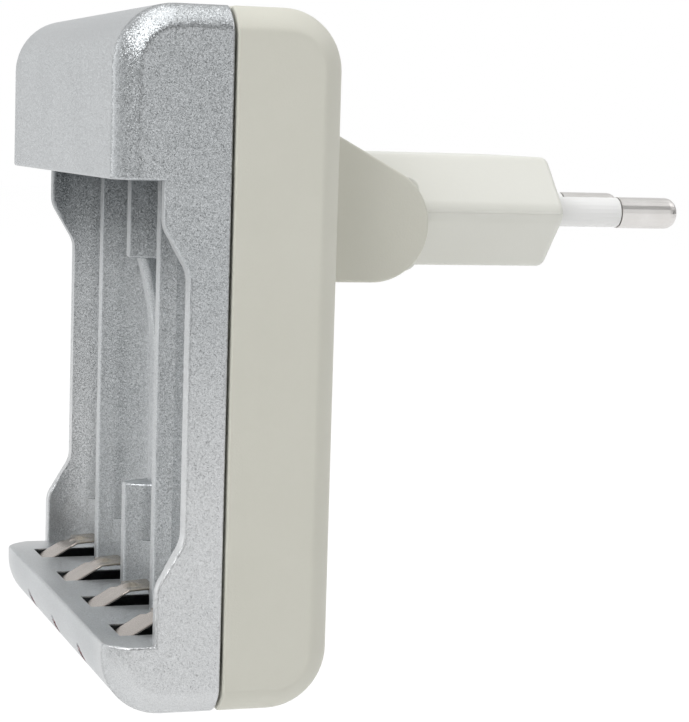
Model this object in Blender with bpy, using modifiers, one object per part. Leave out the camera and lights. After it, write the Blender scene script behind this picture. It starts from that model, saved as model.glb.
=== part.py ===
"""Plug-in charger for four AA or AAA cells, with a plug that folds against its back.

The frame: the origin is the centre of the plug's seating face, +Y points into the wall socket,
+Z is up and the battery bays face -Y. The case swings about the hinge that joins it to the plug.
"""

import math

import bmesh
import bpy
from mathutils import Matrix, Vector

MM = 0.001

# Case
CASE_TOP = 23.1 * MM            # above the plug's axis
PLUG_STANDOFF = 34.0 * MM       # from the case's back to the plug's seating face
CORNER_RADIUS = 7.0 * MM        # of the side profile's four corners
EDGE_CHAMFER = 3.0 * MM         # round the two end faces
WALL = 1.8 * MM
SIDE_WALL = 1.85 * MM           # beside the outer bays
BOARD_SPACE = 7.6 * MM          # between the bays' rear wall and the back wall
HEADER_SPACE = 16.35 * MM       # inside the header, from its floor to the top wall
FRONT_COVER_DEPTH = 13.4 * MM   # from the front face to the parting plane
GAP = 0.3 * MM                  # left between pieces that touch

# Battery bays
BAY_COUNT = 4
BAY_LENGTH = 52.3 * MM
CELL_RADIUS = 7.25 * MM
CELL_CLEARANCE = 0.25 * MM
CELL_AXIS_DEPTH = 6.4 * MM      # of a cell's axis behind the front face
RIDGE_WEB = 1.0 * MM            # of plastic between two bays, at its thinnest
RIDGE_DEPTH = 9.1 * MM          # of the ridges' crests behind the front face
RIDGE_ROUND = 0.3 * MM
TUB_WALL = 1.5 * MM
SMALL_CELL_RADIUS = 6.1 * MM      # of the narrower groove
SMALL_CELL_AXIS_DEPTH = 9.6 * MM
SMALL_CELL_STEP_RISE = 6.35 * MM  # of the step above the ledge

# Openings for the fingers
SIDE_WALL_DEPTH = 5.6 * MM      # of the side walls' front edges behind the front face
FINGER_DEPTH = 8.7 * MM         # of the side walls' cut-outs behind the front face
FINGER_TOP = 5.1 * MM           # below the header's underside
FINGER_BOTTOM = 6.6 * MM        # above the ledge
FINGER_SLOPE = 5.2 * MM
FINGER_ROUND = 3.5 * MM
SCOOP_TOP = 10.5 * MM           # below the header's underside
SCOOP_BOTTOM = 13.5 * MM        # above the ledge
SCOOP_STEP = 1.35 * MM          # below the middle ridge's crest, at the scoop's top
SCOOP_SAG = 2.05 * MM           # deeper again from its middle down
SCOOP_HALF_WIDTH = 1.7 * MM     # of the rib that is left
SCOOP_RELIEF = 3.2 * MM         # half width cleared beside that rib
SCOOP_RELIEF_DEPTH = 3.8 * MM   # below the crest

# Contacts of the bays
STRIP = 0.3 * MM
WINDOW_WIDTH = 6.2 * MM
WINDOW_FRONT = 2.9 * MM         # behind the front face
WINDOW_LENGTH = 10.0 * MM
LEAF_WIDTH = 5.6 * MM
LEAF_RISE = 2.1 * MM            # of the leaf's top above the ledge
LEAF_BASE_DROP = 2.7 * MM       # of its base below the ledge
LEAF_RAMP = 4.45 * MM
LEAF_FLAT = 3.5 * MM
POSITIVE_WIDTH = 7.0 * MM
POSITIVE_LENGTH = 9.4 * MM
POSITIVE_FRONT = 3.2 * MM       # behind the front face
POSITIVE_TAIL = 5.0 * MM
POSITIVE_RIM = 0.5 * MM         # of plastic left under a plate's edges
POSITIVE_SILL = 0.6 * MM        # how far that rim reaches in under the plate
SMALL_CONTACT_WIDTH = 5.2 * MM
HOLDER_THICKNESS = 0.8 * MM
HOLDER_CHEEK = 0.7 * MM

# Lamps
LAMP_COUNT = 3
LAMP_RADIUS = 1.5 * MM
LAMP_FLANGE_RADIUS = 1.9 * MM
LAMP_LENGTH = 5.3 * MM
LAMP_DROP = 0.5 * MM            # of its axis below the contact holder
LAMP_HOLE_CLEARANCE = 0.2 * MM
LEAD_RADIUS = 0.25 * MM

# Plug
PLUG_HALF_WIDTH = 17.65 * MM
PLUG_HALF_HEIGHT = 6.9 * MM
PLUG_FLAT_HALF_WIDTH = 11.6 * MM
PLUG_VERTEX = 0.65 * MM         # how far the side edges would stand out if they were sharp
PLUG_SIDE_ROUND = 2.0 * MM
PLUG_CORNER_ROUND = 1.8 * MM
PLUG_FACE_ROUND = 1.0 * MM
PIN_RADIUS = 2.0 * MM
PIN_CORE_RADIUS = 1.5 * MM
PIN_LENGTH = 19.0 * MM
PIN_SPACING = 18.6 * MM         # at the seating face
PIN_TIP_SPACING = 18.0 * MM
SLEEVE_RADIUS = 1.9 * MM
SLEEVE_LENGTH = 10.8 * MM
SLEEVE_SEAT = 3.3 * MM          # sunk in the plug
PIN_FIT = 0.15 * MM

# Hinge between the plug and the case
HINGE_CLEARANCE = 0.9 * MM      # between the barrel and the case's back
HINGE_DROP = 1.5 * MM           # of that axis below the plug's axis
BARREL_RADIUS = 6.9 * MM
BARREL_FRONT = 6.8 * MM         # from the axis to the hinge block's end
CROWN_RISE = 0.2 * MM           # of the plug's rounded rear top, above its flat top
BLOCK_ROUND = 1.8 * MM
EAR_RADIUS = 7.0 * MM
EAR_THICKNESS = 2.8 * MM
EAR_ROOT_RISE = 12.6 * MM       # of the ear's sloping top above the hinge, at the case's back
EAR_EDGE = 0.45 * MM
TRUNNION_RADIUS = 1.9 * MM
TRUNNION_LENGTH = 1.35 * MM     # beyond the ear's inner face

# Screws, board and what it carries
SCREW_INSET = 7.35 * MM         # from the case's sides
SCREW_BELOW_TOP = 6.6 * MM
SCREW_RADIUS = 1.15 * MM
SCREW_HEAD_RADIUS = 2.3 * MM
SCREW_HEAD_HEIGHT = 1.5 * MM
SCREW_LENGTH = 10.0 * MM
BOSS_RADIUS = 3.0 * MM
COUNTERBORE = 1.9 * MM
BOARD_THICKNESS = 1.6 * MM
BOARD_STANDOFF = 1.7 * MM       # from the back wall's inner face
BOARD_MARGIN = 1.5 * MM         # from the side walls' inner faces
TONGUE_WIDTH = 6.0 * MM
TONGUE_REACH = 3.2 * MM         # past the parting plane
MAINS_CAPACITOR_RADIUS = 5.0 * MM
MAINS_CAPACITOR_HEIGHT = 14.0 * MM
OUTPUT_CAPACITOR_RADIUS = 4.0 * MM
OUTPUT_CAPACITOR_HEIGHT = 11.0 * MM
CORE_WIDTH = 13.0 * MM
CORE_HEIGHT = 12.0 * MM
CORE_THICKNESS = 5.0 * MM
CORE_LEG = 3.2 * MM
COIL_DEPTH = 9.2 * MM
FUSE_LENGTH = 6.4 * MM
FUSE_RADIUS = 1.2 * MM
FUSE_RISE = 2.2 * MM            # above the header's floor
POST_INSET = 9.35 * MM          # from the case's sides
POST_RADIUS = 2.0 * MM
POST_BOTTOM = 4.0 * MM          # above the ledge
POST_TOP = 14.3 * MM            # below the header's underside
CHIP_THICKNESS = 1.5 * MM
CHIP_DEPTH = 4.0 * MM
SWITCHING_CHIP_WIDTH = 5.0 * MM
CONTROLLER_WIDTH = 10.0 * MM
RECTIFIER_WIDTH = 5.0 * MM
RECTIFIER_THICKNESS = 2.2 * MM
MAINS_BLADE_WIDTH = 3.0 * MM
BLADE_FOOT = 8.5 * MM           # below the hinge's axis
BLADE_KNEE = 4.2 * MM           # below it too
BLADE_CREST = 1.2 * MM          # above it
BLADE_TIP = 3.4 * MM
BLADE_ROOM = 0.4 * MM           # from knee to slot, along the wall

# Sizes, planes and places that follow from those
TROUGH_RADIUS = CELL_RADIUS + CELL_CLEARANCE
BAY_PITCH = 2 * TROUGH_RADIUS + RIDGE_WEB
HOLDER_DROP = LEAF_BASE_DROP + STRIP / 2 + GAP
LAMP_RISE = WALL + GAP + LAMP_FLANGE_RADIUS
LEDGE_HEIGHT = LAMP_RISE + LAMP_DROP + HOLDER_THICKNESS + HOLDER_DROP
HEADER_HEIGHT = TUB_WALL + HEADER_SPACE + WALL
CASE_WIDTH = (BAY_COUNT - 1) * BAY_PITCH + 2 * TROUGH_RADIUS + 2 * SIDE_WALL
CASE_HEIGHT = HEADER_HEIGHT + BAY_LENGTH + LEDGE_HEIGHT
CASE_DEPTH = SMALL_CELL_AXIS_DEPTH + SMALL_CELL_RADIUS + TUB_WALL + BOARD_SPACE + WALL
HINGE_BEHIND = BARREL_RADIUS + HINGE_CLEARANCE
CASE_BACK = -PLUG_STANDOFF
CASE_FRONT = CASE_BACK - CASE_DEPTH
CASE_BOTTOM = CASE_TOP - CASE_HEIGHT
PARTING = CASE_FRONT + FRONT_COVER_DEPTH
INNER_BACK = CASE_BACK - WALL
HALF_WIDTH = CASE_WIDTH / 2
INNER_HALF_WIDTH = HALF_WIDTH - WALL
BAY_TOP = CASE_TOP - HEADER_HEIGHT
BAY_FLOOR = BAY_TOP - BAY_LENGTH
CELL_AXIS = CASE_FRONT + CELL_AXIS_DEPTH
CREST = CASE_FRONT + RIDGE_DEPTH
STEP_Z = BAY_FLOOR + SMALL_CELL_STEP_RISE
SCOOP_Z = BAY_TOP - SCOOP_TOP
SCOOP_LENGTH = BAY_LENGTH - SCOOP_TOP - SCOOP_BOTTOM
FINGER_LENGTH = BAY_LENGTH - FINGER_TOP - FINGER_BOTTOM
SMALL_CELL_AXIS = CASE_FRONT + SMALL_CELL_AXIS_DEPTH
HINGE = Vector((0, CASE_BACK + HINGE_BEHIND, -HINGE_DROP))
BOARD_BACK = INNER_BACK - BOARD_STANDOFF
BOARD_FRONT = BOARD_BACK - BOARD_THICKNESS
ON_BOARD = BOARD_FRONT - GAP
SCREW_X = HALF_WIDTH - SCREW_INSET
SCREW_Z = CASE_TOP - SCREW_BELOW_TOP
EAR_INNER = PLUG_HALF_WIDTH + GAP
EAR_OUTER = EAR_INNER + EAR_THICKNESS
MAINS_SIDE = HALF_WIDTH * 0.43   # of the board's mains parts, from its middle
OUTPUT_SIDE = HALF_WIDTH * 0.45  # of its output parts, on the other side
TOE_IN = math.atan((PIN_SPACING - PIN_TIP_SPACING) / 2 / PIN_LENGTH)
HEADER_MIDDLE = (BAY_TOP + TUB_WALL + CASE_TOP - WALL) / 2
BEYOND = 20 * MM                # how far a cutter runs past the case


def bay_centres():
    return [(i - (BAY_COUNT - 1) / 2) * BAY_PITCH for i in range(BAY_COUNT)]


def lamp_centres():
    return [(i - (LAMP_COUNT - 1) / 2) * BAY_PITCH for i in range(LAMP_COUNT)]


def remove_objects():
    for thing in list(bpy.data.objects):
        bpy.data.objects.remove(thing, do_unlink=True)


def new_collection(name):
    folder = bpy.data.collections.new(name)
    bpy.context.scene.collection.children.link(folder)
    return folder


def new_material(name, colour, roughness, metallic=0.0):
    material = bpy.data.materials.new(name)
    material.use_nodes = True
    shader = material.node_tree.nodes["Principled BSDF"]
    shader.inputs["Base Color"].default_value = (*colour, 1.0)
    shader.inputs["Roughness"].default_value = roughness
    shader.inputs["Metallic"].default_value = metallic
    material.diffuse_color = (*colour, 1.0)
    return material


remove_objects()
PIECES = new_collection("aa_battery_charger")
CUTTERS = new_collection("cutters")
SILVER_PAINT = new_material("silver_paint", (0.58, 0.59, 0.60), 0.38, 0.6)
IVORY_PLASTIC = new_material("ivory_plastic", (0.76, 0.74, 0.66), 0.55)
PLUG_PLASTIC = new_material("plug_plastic", (0.78, 0.76, 0.68), 0.42)
NICKEL = new_material("nickel", (0.72, 0.70, 0.68), 0.22, 1.0)
WHITE_PLASTIC = new_material("white_plastic", (0.90, 0.90, 0.89), 0.40)
BLACK_PLASTIC = new_material("black_plastic", (0.03, 0.03, 0.03), 0.50)
RED_LENS = new_material("red_lens", (0.30, 0.02, 0.03), 0.15)
BOARD_GREEN = new_material("board_green", (0.05, 0.22, 0.10), 0.45)
FERRITE = new_material("ferrite", (0.10, 0.10, 0.11), 0.60)
COIL_TAPE = new_material("coil_tape", (0.80, 0.62, 0.10), 0.50)
CAN_SLEEVE = new_material("can_sleeve", (0.06, 0.07, 0.12), 0.35)
STEEL = new_material("steel", (0.55, 0.55, 0.56), 0.30, 1.0)

CASE_HINGE = bpy.data.objects.new("case_hinge", None)
CASE_HINGE.location = HINGE
CASE_HINGE.empty_display_size = 10 * MM
PIECES.objects.link(CASE_HINGE)
bpy.context.view_layer.update()


def arc(centre, radius, start, end, steps):
    """Points on a circle from one angle to the other, both in degrees and both included."""
    points = []
    for i in range(steps + 1):
        angle = math.radians(start + (end - start) * i / steps)
        points.append((centre[0] + radius * math.cos(angle), centre[1] + radius * math.sin(angle)))
    return points


def rounded(corners, steps=4):
    """An outline of (u, v, radius) corners, each with its radius turned into an arc."""
    points = []
    for i, (u, v, radius) in enumerate(corners):
        here = Vector((u, v))
        if radius == 0:
            points.append((u, v))
            continue
        before = (Vector(corners[i - 1][:2]) - here).normalized()
        after = (Vector(corners[(i + 1) % len(corners)][:2]) - here).normalized()
        half_angle = before.angle(after) / 2
        centre = here + (before + after).normalized() * (radius / math.sin(half_angle))
        start = here + before * (radius / math.tan(half_angle)) - centre
        end = here + after * (radius / math.tan(half_angle)) - centre
        turn = end.angle_signed(start)
        for k in range(steps + 1):
            spoke = Matrix.Rotation(turn * k / steps, 2) @ start
            points.append(tuple(centre + spoke))
    return points


def rectangle(u0, u1, v0, v1, radius=0.0):
    return rounded([(u0, v0, radius), (u1, v0, radius), (u1, v1, radius), (u0, v1, radius)])


def place(thing, folder, material, moves):
    """Puts an object in its collection; what swings with the case hangs on the hinge's empty."""
    folder.objects.link(thing)
    if material is not None:
        thing.data.materials.append(material)
    if folder == CUTTERS:
        thing.hide_render = True
        thing.display_type = 'WIRE'
    if moves:
        thing.parent = CASE_HINGE
        thing.matrix_parent_inverse = CASE_HINGE.matrix_world.inverted()
    return thing


def mesh_object(name, shape, folder, material, moves, matrix=None):
    mesh = bpy.data.meshes.new(name)
    bmesh.ops.recalc_face_normals(shape, faces=shape.faces)
    shape.to_mesh(mesh)
    shape.free()
    thing = bpy.data.objects.new(name, mesh)
    if matrix is not None:
        thing.matrix_world = matrix
    return place(thing, folder, material, moves)


def axis_frame(axis):
    """Turns local X, Y and Z into the two axes of an outline and the axis it is pushed along."""
    if axis == 'X':
        return Matrix(((0, 0, 1), (1, 0, 0), (0, 1, 0))).to_4x4()
    if axis == 'Y':
        return Matrix(((1, 0, 0), (0, 0, -1), (0, 1, 0))).to_4x4()
    return Matrix.Identity(4)


def prism(name, outline, low, high, axis, folder=CUTTERS, material=None, moves=True, holes=()):
    """A flat outline pushed along an axis: (y, z) along X, (x, z) along Y, (x, y) along Z."""
    curve = bpy.data.curves.new(name, 'CURVE')
    curve.dimensions = '2D'
    curve.fill_mode = 'BOTH'
    curve.extrude = (high - low) / 2
    for ring in (outline, *holes):
        spline = curve.splines.new('POLY')
        spline.points.add(len(ring) - 1)
        spline.use_cyclic_u = True
        for point, (u, v) in zip(spline.points, ring):
            point.co = (u, v, 0, 1)
    flat = bpy.data.objects.new(name, curve)
    middle = (low + high) / 2
    offset = {'X': (middle, 0, 0), 'Y': (0, middle, 0), 'Z': (0, 0, middle)}[axis]
    flat.matrix_world = Matrix.Translation(offset) @ axis_frame(axis)
    bpy.context.scene.collection.objects.link(flat)
    bpy.context.view_layer.update()
    evaluated = flat.evaluated_get(bpy.context.evaluated_depsgraph_get())
    mesh = bpy.data.meshes.new_from_object(evaluated)
    matrix = flat.matrix_world.copy()
    bpy.data.objects.remove(flat, do_unlink=True)
    bpy.data.curves.remove(curve)
    shape = bmesh.new()
    shape.from_mesh(mesh)
    bpy.data.meshes.remove(mesh)
    bmesh.ops.remove_doubles(shape, verts=shape.verts, dist=0.0001 * MM)
    bmesh.ops.dissolve_limit(shape, angle_limit=0.001, verts=shape.verts, edges=shape.edges)
    return mesh_object(name, shape, folder, material, moves, matrix)


def boxes(name, extents, folder=CUTTERS, material=None, moves=True):
    """Boxes that don't meet, in one mesh, each given as (x0, x1, y0, y1, z0, z1)."""
    shape = bmesh.new()
    for x0, x1, y0, y1, z0, z1 in extents:
        size = Matrix.Diagonal((x1 - x0, y1 - y0, z1 - z0, 1))
        centre = Matrix.Translation(((x0 + x1) / 2, (y0 + y1) / 2, (z0 + z1) / 2))
        bmesh.ops.create_cube(shape, size=1, matrix=centre @ size)
    return mesh_object(name, shape, folder, material, moves)


def rods(name, ends, axis, folder=CUTTERS, material=None, moves=True, segments=24):
    """Cylinders that don't meet, in one mesh, each given as (centre, radius, low, high)."""
    shape = bmesh.new()
    turn = {'X': Matrix.Rotation(math.pi / 2, 4, 'Y'), 'Y': Matrix.Rotation(math.pi / 2, 4, 'X'),
            'Z': Matrix.Identity(4)}[axis]
    for (u, v), radius, low, high in ends:
        middle = (low + high) / 2
        centre = {'X': (middle, u, v), 'Y': (u, middle, v), 'Z': (u, v, middle)}[axis]
        bmesh.ops.create_cone(shape, cap_ends=True, segments=segments, radius1=radius,
                              radius2=radius, depth=high - low,
                              matrix=Matrix.Translation(centre) @ turn)
    return mesh_object(name, shape, folder, material, moves)


def turned(name, profile, matrix, folder, material, moves, steps=24):
    """A profile of (radius, height) points, outer side top to bottom, turned about local Z."""
    mesh = bpy.data.meshes.new(name)
    mesh.from_pydata([(r, 0, z) for r, z in profile],
                     [(i, i + 1) for i in range(len(profile) - 1)], [])
    thing = bpy.data.objects.new(name, mesh)
    thing.matrix_world = matrix
    screw = thing.modifiers.new("turn", 'SCREW')
    screw.steps = steps
    screw.render_steps = steps
    screw.use_merge_vertices = True
    screw.merge_threshold = 0.001 * MM
    return place(thing, folder, material, moves)


def strip(name, path, x, width, folder, material, moves):
    """Sheet metal: a path of (y, z) corners with bend radii, as wide as given, one sheet thick."""
    closed = rounded([(y, z, 0 if i in (0, len(path) - 1) else bend)
                      for i, (y, z, bend) in enumerate(path)], steps=3)
    shape = bmesh.new()
    row = [shape.verts.new((x - width / 2, y, z)) for y, z in closed]
    edges = [shape.edges.new(pair) for pair in zip(row, row[1:])]
    grown = bmesh.ops.extrude_edge_only(shape, edges=edges)["geom"]
    moved = [part for part in grown if isinstance(part, bmesh.types.BMVert)]
    bmesh.ops.translate(shape, verts=moved, vec=(width, 0, 0))
    thing = mesh_object(name, shape, folder, material, moves)
    sheet = thing.modifiers.new("sheet", 'SOLIDIFY')
    sheet.thickness = STRIP
    sheet.offset = 0
    sheet.use_even_offset = True
    return thing


def wire(name, points, radius):
    """A round wire along its points, as a mesh that can be joined to another."""
    curve = bpy.data.curves.new(name, 'CURVE')
    curve.dimensions = '3D'
    curve.bevel_depth = radius
    curve.bevel_resolution = 2
    curve.use_fill_caps = True
    spline = curve.splines.new('POLY')
    spline.points.add(len(points) - 1)
    for point, place_at in zip(spline.points, points):
        point.co = (*place_at, 1)
    thing = bpy.data.objects.new(name, curve)
    bpy.context.scene.collection.objects.link(thing)
    bpy.context.view_layer.update()
    evaluated = thing.evaluated_get(bpy.context.evaluated_depsgraph_get())
    mesh = bpy.data.meshes.new_from_object(evaluated)
    bpy.data.objects.remove(thing, do_unlink=True)
    bpy.data.curves.remove(curve)
    shape = bmesh.new()
    shape.from_mesh(mesh)
    bpy.data.meshes.remove(mesh)
    bmesh.ops.remove_doubles(shape, verts=shape.verts, dist=0.001 * MM)
    return mesh_object(name, shape, CUTTERS, None, True)


def boolean(thing, operation, other):
    modifier = thing.modifiers.new(other.name, 'BOOLEAN')
    modifier.operation = operation
    modifier.object = other


def bevel(thing, width, segments, profile=0.5):
    modifier = thing.modifiers.new("edges", 'BEVEL')
    modifier.width = width
    modifier.segments = segments
    modifier.profile = profile
    modifier.limit_method = 'ANGLE'
    modifier.angle_limit = math.radians(40)


def smooth(thing):
    thing.data.shade_smooth()
    thing.data.set_sharp_from_angle(angle=math.radians(30))


def side_profile(inset):
    """The case's rounded side outline in (y, z), drawn in by the inset."""
    radius = CORNER_RADIUS - inset
    corners = [(CASE_FRONT + inset, CASE_BOTTOM + inset, radius),
               (CASE_BACK - inset, CASE_BOTTOM + inset, radius),
               (CASE_BACK - inset, CASE_TOP - inset, radius),
               (CASE_FRONT + inset, CASE_TOP - inset, radius)]
    return rounded(corners, steps=8)


def envelope(name, inset, folder=CUTTERS, material=None):
    """The whole case as one block with bevelled end faces."""
    half = HALF_WIDTH - inset
    block = prism(name, side_profile(inset), -half, half, 'X', folder, material)
    bevel(block, EDGE_CHAMFER - inset / 3, 3, profile=0.36)
    return block


def bay_outline(grow):
    """The bays' shared section in (x, y), open at the front, grown for their walls' outside."""
    radius = TROUGH_RADIUS + grow
    outer = (BAY_COUNT - 1) / 2 * BAY_PITCH + radius
    front = CASE_FRONT - BEYOND
    if grow > 0:
        crest_half = 0.0
    else:
        reach = math.sqrt(radius ** 2 - (CREST - CELL_AXIS) ** 2)
        crest_half = BAY_PITCH / 2 - reach
    inner_angle = math.degrees(math.acos((BAY_PITCH / 2 - crest_half) / radius))
    points = [(-outer, front)]
    for i, x in enumerate(bay_centres()):
        start = 180 if i == 0 else 180 - inner_angle
        end = 0 if i == BAY_COUNT - 1 else inner_angle
        ring = arc((x, CELL_AXIS), radius, start, end, 16)
        if grow > 0 and i > 0:
            ring = ring[1:]
        points += ring
    points.append((outer, front))
    if grow > 0:
        return points
    return eased(points)


def eased(points):
    """Rounds the ridges' crest edges, which are the outline's corners that point to the front."""
    corners = []
    for u, v in points:
        on_crest = abs(v - CREST) < 0.01 * MM
        corners.append((u, v, RIDGE_ROUND if on_crest else 0))
    return rounded(corners, steps=2)


def small_cell_outline(x, grow):
    """The narrow groove of a bay, for the thinner cell, in (x, y)."""
    radius = SMALL_CELL_RADIUS + grow
    front = CELL_AXIS - 1 * MM
    return [(x - radius, front), *arc((x, SMALL_CELL_AXIS), radius, 180, 0, 14), (x + radius, front)]


def scoop_outline(grow):
    """The finger scoop of the middle ridge in (y, z): an arc down from a step, then a straight."""
    top = SCOOP_Z + grow
    bottom = SCOOP_Z - SCOOP_LENGTH - grow
    edge = CREST + SCOOP_STEP + grow
    sag = SCOOP_SAG
    half = (top - bottom) / 2
    radius = (half ** 2 + sag ** 2) / (2 * sag)
    sweep = math.degrees(math.asin(half / radius))
    centre = (edge + sag - radius, (top + bottom) / 2)
    front = CREST - 1 * MM if grow == 0 else CREST + 0.4 * MM
    return [(front, bottom), (edge + sag, bottom), *arc(centre, radius, 0, sweep, 8), (front, top)]


def scoop_reliefs():
    """Clear space on both sides of the rib that the scoop leaves of the middle ridge."""
    inner = SCOOP_HALF_WIDTH - 0.001 * MM
    sides = [sorted((side * inner, side * SCOOP_RELIEF)) for side in (-1, 1)]
    return boxes("scoop_reliefs", [(low, high, CREST - 1 * MM, CREST + SCOOP_RELIEF_DEPTH,
                                    SCOOP_Z - SCOOP_LENGTH, SCOOP_Z) for low, high in sides])


def opening_outline():
    """What is cut away in front of the side walls, in (y, z), with the finger cut-outs."""
    wall = CASE_FRONT + SIDE_WALL_DEPTH
    deep = CASE_FRONT + FINGER_DEPTH
    top = BAY_TOP - FINGER_TOP
    bottom = top - FINGER_LENGTH
    front = CASE_FRONT - BEYOND
    corners = [(front, BAY_FLOOR, 0), (wall, BAY_FLOOR, 0), (wall, bottom, FINGER_ROUND),
               (deep, bottom + FINGER_SLOPE, FINGER_ROUND), (deep, top - FINGER_SLOPE, FINGER_ROUND),
               (wall, top, FINGER_ROUND), (wall, BAY_TOP, 0), (front, BAY_TOP, 0)]
    return rounded(corners, steps=5)


def tub_block():
    """Everything in front of the bay walls' rear surface: the bays and their walls in one block."""
    block = prism("tub_block", bay_outline(TUB_WALL), BAY_FLOOR - TUB_WALL, BAY_TOP + TUB_WALL, 'Z')
    for i, x in enumerate(bay_centres()):
        deeper = prism(f"tub_groove_{i + 1}", small_cell_outline(x, TUB_WALL),
                       STEP_Z - TUB_WALL, BAY_TOP + TUB_WALL, 'Z')
        boolean(block, 'UNION', deeper)
    thick = prism("tub_scoop", scoop_outline(TUB_WALL), -SCOOP_RELIEF - TUB_WALL,
                  SCOOP_RELIEF + TUB_WALL, 'X')
    boolean(block, 'UNION', thick)
    return block


def front_region(block):
    """The half space in front of the parting plane, with the bays' block behind it."""
    front = CASE_FRONT - BEYOND
    half = HALF_WIDTH + BEYOND
    region = boxes("front_region", [(-half, half, front - BEYOND, PARTING - GAP / 2,
                                     CASE_BOTTOM - BEYOND, CASE_TOP + BEYOND)])
    boolean(region, 'UNION', block)
    return region


def front_cover():
    """Silver cover: header, four bays in one moulding, side walls and the ledge below."""
    block = tub_block()
    hollow = envelope("front_hollow", WALL)
    boolean(hollow, 'DIFFERENCE', block)
    cover = envelope("front_cover", 0, PIECES, SILVER_PAINT)
    boolean(cover, 'INTERSECT', front_region(block))
    boolean(cover, 'DIFFERENCE', hollow)
    half = HALF_WIDTH + BEYOND
    boolean(cover, 'DIFFERENCE', prism("opening", opening_outline(), -half, half, 'X'))
    boolean(cover, 'DIFFERENCE', prism("bays", bay_outline(0), BAY_FLOOR, BAY_TOP, 'Z'))
    for i, x in enumerate(bay_centres()):
        groove = prism(f"groove_{i + 1}", small_cell_outline(x, 0), STEP_Z, BAY_TOP, 'Z')
        boolean(cover, 'DIFFERENCE', groove)
    scoop = prism("scoop", scoop_outline(0), -SCOOP_HALF_WIDTH, SCOOP_HALF_WIDTH, 'X')
    boolean(scoop, 'UNION', scoop_reliefs())
    boolean(cover, 'DIFFERENCE', scoop)
    boolean(cover, 'DIFFERENCE', contact_openings())
    boolean(cover, 'DIFFERENCE', positive_pockets())
    lamp_hole = LAMP_RADIUS + LAMP_HOLE_CLEARANCE
    lamp_z = CASE_BOTTOM + LAMP_RISE
    holes = [((x, lamp_z), lamp_hole, CASE_FRONT - 2 * MM, CASE_FRONT + CORNER_RADIUS)
             for x in lamp_centres()]
    boolean(cover, 'DIFFERENCE', rods("lamp_holes", holes, 'Y'))
    boolean(cover, 'UNION', screw_bosses())
    pilot = [((side * SCREW_X, SCREW_Z), SCREW_RADIUS - 0.15 * MM + GAP,
              INNER_BACK - SCREW_LENGTH - 2 * MM, BOARD_FRONT) for side in (-1, 1)]
    boolean(cover, 'DIFFERENCE', rods("pilot_holes", pilot, 'Y'))
    for side in (-1, 1):
        boolean(cover, 'UNION', locating_tongue(side))
    smooth(cover)


def contact_openings():
    """Windows in the ledge, openings in the header's floor, slots at the small cells' steps."""
    extents = []
    for x in bay_centres():
        window_front = CASE_FRONT + WINDOW_FRONT
        extents.append((x - WINDOW_WIDTH / 2, x + WINDOW_WIDTH / 2, window_front,
                        window_front + WINDOW_LENGTH, BAY_FLOOR - 2 * TUB_WALL, BAY_FLOOR + 1 * MM))
        half = POSITIVE_WIDTH / 2 - POSITIVE_SILL
        tail = CASE_FRONT + POSITIVE_FRONT
        extents.append((x - half, x + half, tail + POSITIVE_SILL,
                        tail + POSITIVE_LENGTH - POSITIVE_SILL, BAY_TOP - 1 * MM,
                        BAY_TOP + TUB_WALL + 1 * MM))
        half = SMALL_CONTACT_WIDTH / 2 + GAP
        groove_floor = SMALL_CELL_AXIS + SMALL_CELL_RADIUS
        extents.append((x - half, x + half, groove_floor - 1 * MM, groove_floor + 2 * TUB_WALL,
                        STEP_Z, STEP_Z + STRIP + 2 * GAP))
    return boxes("contact_openings", extents)


def positive_pockets():
    """Pockets in the header's floor, from above, that the positive contacts lie in."""
    half = POSITIVE_WIDTH / 2 + GAP
    front = CASE_FRONT + POSITIVE_FRONT - STRIP / 2 - GAP
    return boxes("positive_pockets", [(x - half, x + half, front,
                                       front + POSITIVE_LENGTH + STRIP / 2 + 2 * GAP,
                                       BAY_TOP + POSITIVE_RIM, BAY_TOP + 2 * TUB_WALL)
                                      for x in bay_centres()])


def screw_bosses():
    """Pillars from the front wall that the screws bite into, just short of the board."""
    ends = [((side * SCREW_X, SCREW_Z), BOSS_RADIUS, CASE_FRONT + WALL - 0.5 * MM, ON_BOARD)
            for side in (-1, 1)]
    return rods("front_bosses", ends, 'Y')


def locating_tongue(side):
    """A tongue on the bottom wall that slips inside the back cover."""
    floor = CASE_BOTTOM + WALL
    root = PARTING - GAP / 2
    outline = [(root - 3 * MM, floor - 0.6 * MM), (root, floor - 0.6 * MM), (root, floor + GAP),
               (PARTING + TONGUE_REACH, floor + GAP), (PARTING + TONGUE_REACH, floor + 1.5 * MM),
               (root - 3 * MM, floor + 1.5 * MM)]
    x = side * BAY_PITCH / 2
    return prism(f"tongue_{'left' if side < 0 else 'right'}", outline,
                 x - TONGUE_WIDTH / 2, x + TONGUE_WIDTH / 2, 'X')


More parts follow.
